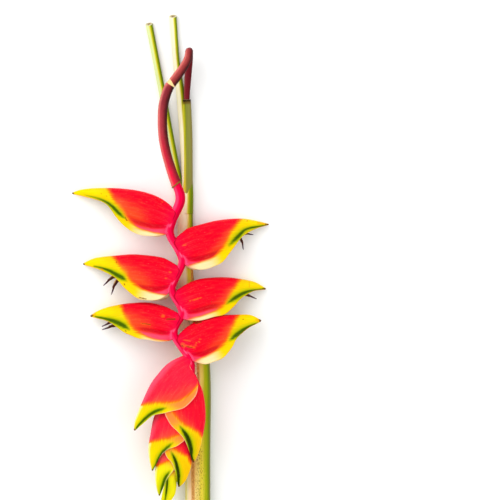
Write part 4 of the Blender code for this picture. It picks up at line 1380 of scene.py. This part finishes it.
scar_way = SCAR_TO - SCAR_FROM
scar_share = (points - SCAR_FROM) @ scar_way / scar_way.dot(scar_way)
scar_normal = np.cross(scar_way, (0, 0, 1)) / np.linalg.norm(scar_way)
from_scar = (points - SCAR_FROM) @ scar_normal
near_scar = np.linalg.norm(points - (SCAR_FROM + SCAR_TO) / 2, axis=1) < SCAR_REACH
on_scar = near_scar * ramp(*SCAR_FACING, outward[:, 2])
scar = bump(0, np.interp(scar_share, *zip(*SCAR_WIDTHS)), from_scar) * on_scar
peduncle.data.vertices.foreach_set("co", (points - outward * (scar * SCAR_DEPTH)[:, None]).ravel())
stalk_fields = fades(STALK_FADES, {
    "y": y, "across": np.sum(outward * sideways, axis=1), "up": outward[:, 2],
    "shade": 1 - LESS_SHADE * in_front * ramp(*LESS_SHADE_FROM, y),
    "in_front": in_front, "behind": 1 - in_front,
    "near_end": in_front * (y > RIM_FROM), "from_rim": (points - line[-1]) @ (slant - ways[-1]) / MM,
    "on_scar": on_scar, "scar_share": scar_share, "beside_scar": -from_scar * np.sign(scar_normal[1]) / MM,
})
write_attributes(peduncle.data, stalk_fields | {"scar": scar})
print("split in the skin:", round(np.linalg.norm(scar_way) / MM), "mm long")

# %% Hairs from a tree
HAIR_SIDES = 3
SHORTEST_HAIR = 0.5
HAIR_LEAN = 0.6


def hair_tree():
    tree, given = new_tree("short hairs", {
        "Skin piece": "Geometry", "Hairs per square metre": "Float", "Length": "Float",
        "Thickness": "Float", "Seed": "Int", "Skin": "Material",
    }, "Velvet")
    seed = given["Seed"]
    spread = {"Mesh": given["Skin piece"], "Density": given["Hairs per square metre"], "Seed": seed}
    roots = add_node(tree, "GeometryNodeDistributePointsOnFaces", spread, None)
    spike = {"Vertices": HAIR_SIDES, "Radius Top": 0, "Radius Bottom": 1, "Depth": 1}
    cone = add_node(tree, "GeometryNodeMeshCone", spike, fill_type="NGON")
    drawn = add_node(tree, "FunctionNodeRandomValue", {2: SHORTEST_HAIR, 3: 1.0, "Seed": seed}, 1)
    length = add_node(tree, "ShaderNodeMath", {0: given["Length"], 1: drawn}, operation="MULTIPLY")
    size = {"X": given["Thickness"], "Y": given["Thickness"], "Z": length}
    size = add_node(tree, "ShaderNodeCombineXYZ", size)
    lean = {0: [-HAIR_LEAN] * 3, 1: [HAIR_LEAN] * 3, "Seed": seed}
    lean = add_node(tree, "FunctionNodeRandomValue", lean, data_type="FLOAT_VECTOR")
    turned = {"Rotation": roots.outputs["Rotation"], "Rotate By": lean}
    turned = add_node(tree, "FunctionNodeRotateRotation", turned, rotation_space="LOCAL")
    placed = {"Points": roots.outputs["Points"], "Instance": cone, "Rotation": turned, "Scale": size}
    hairs = add_node(tree, "GeometryNodeInstanceOnPoints", placed)
    joined = add_node(tree, "GeometryNodeJoinGeometry", output=None)
    tree.links.new(given["Skin piece"], joined.inputs[0])
    tree.links.new(hairs, joined.inputs[0])
    velvet = add_node(tree, "GeometryNodeRealizeInstances", {"Geometry": joined.outputs[0]})
    velvet = add_node(tree, "GeometryNodeSetMaterial", {"Geometry": velvet, "Material": given["Skin"]})
    add_node(tree, "NodeGroupOutput", {"Velvet": velvet}, None)
    return tree


# Real hairs are too thin to show, so these are thicker and fewer
velvet = {
    "Hairs per square metre": 1.3e6, "Length": 0.9 * MM, "Thickness": 0.05 * MM,
    "Seed": 3, "Skin": peduncle_skin,
}
peduncle = run_tree(peduncle, hair_tree(), velvet, "velvet_peduncle")
stand_in_for(peduncle, "peduncle")

# %% [markdown]
# ## The rachis
#
# The zigzag axis is smooth and crimson. It swells a little where each bract grows out of it, and a
# pale painted highlight marks the place.

# %% The zigzag axis
RACHIS_TOP = (175.9, 183.6, 3.6)
RACHIS_STEPS = 320
NODE_SWELL = 0.5 * MM
NODE_LENGTH = 5
NODE_SHARE = 0.65
RIDGE_LENGTH = 2.6
RIDGE_SHADES = 0.5
AXIS_HALF = 4
RACHIS_FADES = (
    ("shaded", "any", 1, (ramp, "across", 0.1, 0.9)),
    ("lit", "any", "clear", (ramp, "across", 0, -0.9)),
    # A painted highlight on the swellings where the bracts grow out
    ("ridge_highlight", "any", "ridges", (ramp, "off_middle", 0.9, -0.2)),
)

path = smooth_path((RACHIS_TOP, *RACHIS), RACHIS_STEPS)
nodes_y = [
    (1 - NODE_SHARE) * spec["keel"][0][1] + NODE_SHARE * spec["lip"][0][1] for spec in BRACTS.values()
]


def near_nodes(length, y):
    return np.clip(sum(bump(node_y, length, y) for node_y in nodes_y), 0, 1)


radii = path[:, 2] * MM + NODE_SWELL * near_nodes(NODE_LENGTH, path[:, 1])
line = place(path[:, 0], path[:, 1], axis_height(path[:, 1]))
rachis = grown_stem(
    "zigzag_rachis", line, radii, rachis_skin, sides=56, fibres=3.0, fibre_pace=40.0, fibre_depth=0.5 * MM,
)
x, y = on_plan(read_points(rachis.data))
across = (x - rachis_x(y)) / AXIS_HALF
ridges = near_nodes(RIDGE_LENGTH, y)
write_attributes(rachis.data, fades(RACHIS_FADES, {
    "across": across, "off_middle": np.abs(across), "ridges": ridges, "clear": 1 - RIDGE_SHADES * ridges,
}))
stand_in_for(rachis, "rachis")

# %% [markdown]
# ## Dry flowers
#
# The small true flowers sit inside the bracts. These have finished and dried to dark brown points
# that stick out between the lips.

# %% Skin of a dry flower
# A dried flower has lost its wax: it is rough and hardly shines, and is wrinkled along its length
DRY_COATS = (
    ("pale", 0.2, 0.7, "edges", 0.6, 0.95, "#E2B06A"),
    ("point", 0, 1, "edges", 0.2, 0.8, "#4A3450"),
)
dry_skin = skin(
    "dried flower", "#4A2016", DRY_COATS, {"edges": (0.12, 0.8, 0.8), "lines": (0.2, 2.5, 2.5)},
    {"Roughness": 0.7, "Specular IOR Level": 0.12}, darkest=0.65, relief=0.5,
)

# %% Where the dry flowers lie
# The bract and the y of the foot of each pair of flowers, then for each flower some points: x, y and
# how far in mm it lies in front of the bract's middle plane
DRIED_FLOWERS = {
    "dried_flowers_02": ("bract_02", 256, (
        ((206, 252, 1.2), (222, 240, 2), (234, 234.4, 2.4), (240.4, 240, 2.6), (242.4, 249.4, 2.6)),
        ((208, 254, -1), (226, 240.6, -1.2), (240, 233.6, -0.6), (253, 234.6, 0.4)),
    )),
    "dried_flowers_03": ("bract_03", 286, (
        ((148, 288, 1.4), (132, 281, 2.2), (117, 276.6, 2.6), (110.6, 279.6, 2.8), (104.2, 285.6, 2.8)),
        ((150, 290.6, -0.6), (134, 285, -1), (120.4, 279, -0.6), (114.6, 285, 0.2), (111.4, 294.6, 1)),
    )),
    "dried_flowers_04": ("bract_04", 312, (
        ((206, 309.6, 1), (222, 302.6, 1.8), (234, 296.4, 2.2), (244, 294.4, 2.4), (255.4, 299, 2.4)),
    )),
    "dried_flowers_05": ("bract_05", 331, (
        ((150, 331, 1.2), (134, 326.4, 2), (118, 321.4, 2.4), (110.4, 323, 2.6), (102.8, 326.6, 2.6)),
        ((150, 333.6, -1), (134, 329.4, -1.4), (118.4, 325, -1), (102, 329.8, 0)),
    )),
}

# %% Dry flowers split into strands
# Share of the length and radius in mm
SPIKE_RADII = ((0, 1.5), (0.12, 1.1), (0.5, 1.5), (0.72, 1.4), (0.9, 0.9), (1, 0.35))
# Each strand: sideways shift in mm, share of the length, of the width, and colour
STRANDS = ((0, 1, 0.95, 0.1), (1.4, 0.9, 0.8, 1), (-1.2, 0.86, 0.75, 0.3))
SPIKE_STEPS = 90
OPENS = (0.1, 0.4)
CLOSES = (0.6, 1)
CLOSING = 0.35
POINT_FROM = 0.88


def dry_flower(name, foot_y, table, spec):
    """One dry flower: thick at its foot beside the rachis, split into strands towards its end."""
    droop = math.radians(spec["droop"])
    side = spec["side"]
    foot_x = rachis_x(foot_y) + side * (rachis_radius(foot_y) + GAP) / UNIT
    path = smooth_path(((foot_x, foot_y, 0), *table), SPIKE_STEPS)
    normal = np.array([side * math.sin(droop), 0, math.cos(droop)])
    line = place(path[:, 0], path[:, 1], bract_height(path[:, 0], path[:, 1], side, droop))
    line = line + normal * path[:, 2:] * MM
    shares = np.linspace(0, 1, SPIKE_STEPS)
    sideways = np.cross(np.gradient(line, axis=0), normal)
    sideways /= np.linalg.norm(sideways, axis=1)[:, None]
    apart = ramp(*OPENS, shares) * (1 - CLOSING * ramp(*CLOSES, shares))
    for number, (shift, length, width, pale) in enumerate(STRANDS, 1):
        kept = int(SPIKE_STEPS * length)
        strand_line = (line + sideways * (shift * apart * MM)[:, None])[:kept]
        radii = np.interp(np.linspace(0, 1, kept), *zip(*SPIKE_RADII)) * MM * width
        strand = grown_stem(
            f"{name}_strand_{number}", strand_line, radii, dry_skin,
            sides=12, fibres=2.2, fibre_pace=160.0, fibre_depth=0.7 * MM,
        )
        along = read_attribute(strand.data, "along")
        colours = {"point": ramp(POINT_FROM, 1, along / along.max()), "pale": np.full(len(along), pale)}
        write_attributes(strand.data, colours)
        yield strand


for flowers_name, (bract_name, foot_y, tables) in DRIED_FLOWERS.items():
    for number, table in enumerate(tables, 1):
        for strand in dry_flower(f"{flowers_name}_{number}", foot_y, table, BRACTS[bract_name]):
            stand_in_for(strand, flowers_name)

# %% [markdown]
# ## Light, floor and camera
#
# The picture is bright and almost without shadows: a broad soft light from the upper left, a weaker
# one from the right, and a pale surface all round. The camera looks straight down from far above,
# because a long lens keeps the plan of the flower true.

# %% Floor
FLOOR_EDGE = 12
corners = [(-FLOOR_EDGE, -FLOOR_EDGE, 0), (FLOOR_EDGE, -FLOOR_EDGE, 0)]
corners += [(FLOOR_EDGE, FLOOR_EDGE, 0), (-FLOOR_EDGE, FLOOR_EDGE, 0)]
floor_mesh = bpy.data.meshes.new("floor")
floor_mesh.from_pydata(corners, [], [(0, 1, 2, 3)])
# Matt paper scatters all light evenly, so it takes soft shadows and has no gloss
paper = bpy.data.materials.new("matt white paper")
paper.use_nodes = True
paper.node_tree.nodes["Principled BSDF"].inputs["Base Color"].default_value = linear("#F6F6F4")
paper.node_tree.nodes["Principled BSDF"].inputs["Roughness"].default_value = 0.9
floor_mesh.materials.append(paper)
floor = shown("floor", floor_mesh)
floor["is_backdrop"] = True
print("floor:", 2 * FLOOR_EDGE, "m wide")

# %% Lights
# Place, size in metres, power in watts and tint
SOFT_LIGHTS = {
    "key light": ((-0.95, 0.75, 1.35), 2.1, 22, "#FFFFFF"),
    "fill light": ((1.1, -0.2, 1.2), 1.4, 6, "#F4F8FF"),
}
WORLD_STRENGTH = 0.86

for light_name, (spot, size, power, tint) in SOFT_LIGHTS.items():
    light = bpy.data.lights.new(light_name, "AREA")
    light.shape = "DISK"
    light.size = size
    light.energy = power
    light.color = linear(tint)[:3]
    lamp = shown(light_name, light)
    lamp.location = spot
    # A light looks along its own -Z, here towards the flower
    lamp.rotation_mode = "QUATERNION"
    lamp.rotation_quaternion = (-Vector(spot)).to_track_quat("-Z", "Y")
    print(light_name, power, "W")

world = bpy.data.worlds.new("pale studio")
bpy.context.scene.world = world
world.use_nodes = True
world.node_tree.nodes["Background"].inputs["Color"].default_value = (1, 1, 1, 1)
world.node_tree.nodes["Background"].inputs["Strength"].default_value = WORLD_STRENGTH
bpy.context.scene.view_settings.view_transform = "Standard"

# %% Camera
PHOTO_CENTRE = 250
PHOTO_WIDTH = 500 * UNIT
CAMERA_HEIGHT = 6
SENSOR = 36

camera = bpy.data.cameras.new("camera")
camera.sensor_width = SENSOR
camera.lens = SENSOR * (CAMERA_HEIGHT - AXIS_TOP) / PHOTO_WIDTH
camera_stand = shown("camera", camera)
camera_stand.location = place(PHOTO_CENTRE, PHOTO_CENTRE, CAMERA_HEIGHT)
bpy.context.scene.camera = camera_stand
print("lens:", round(camera.lens), "mm")

# %% Both boxes, and finish
[[list(corner) for corner in box] for box in (CAD_BOX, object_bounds())]
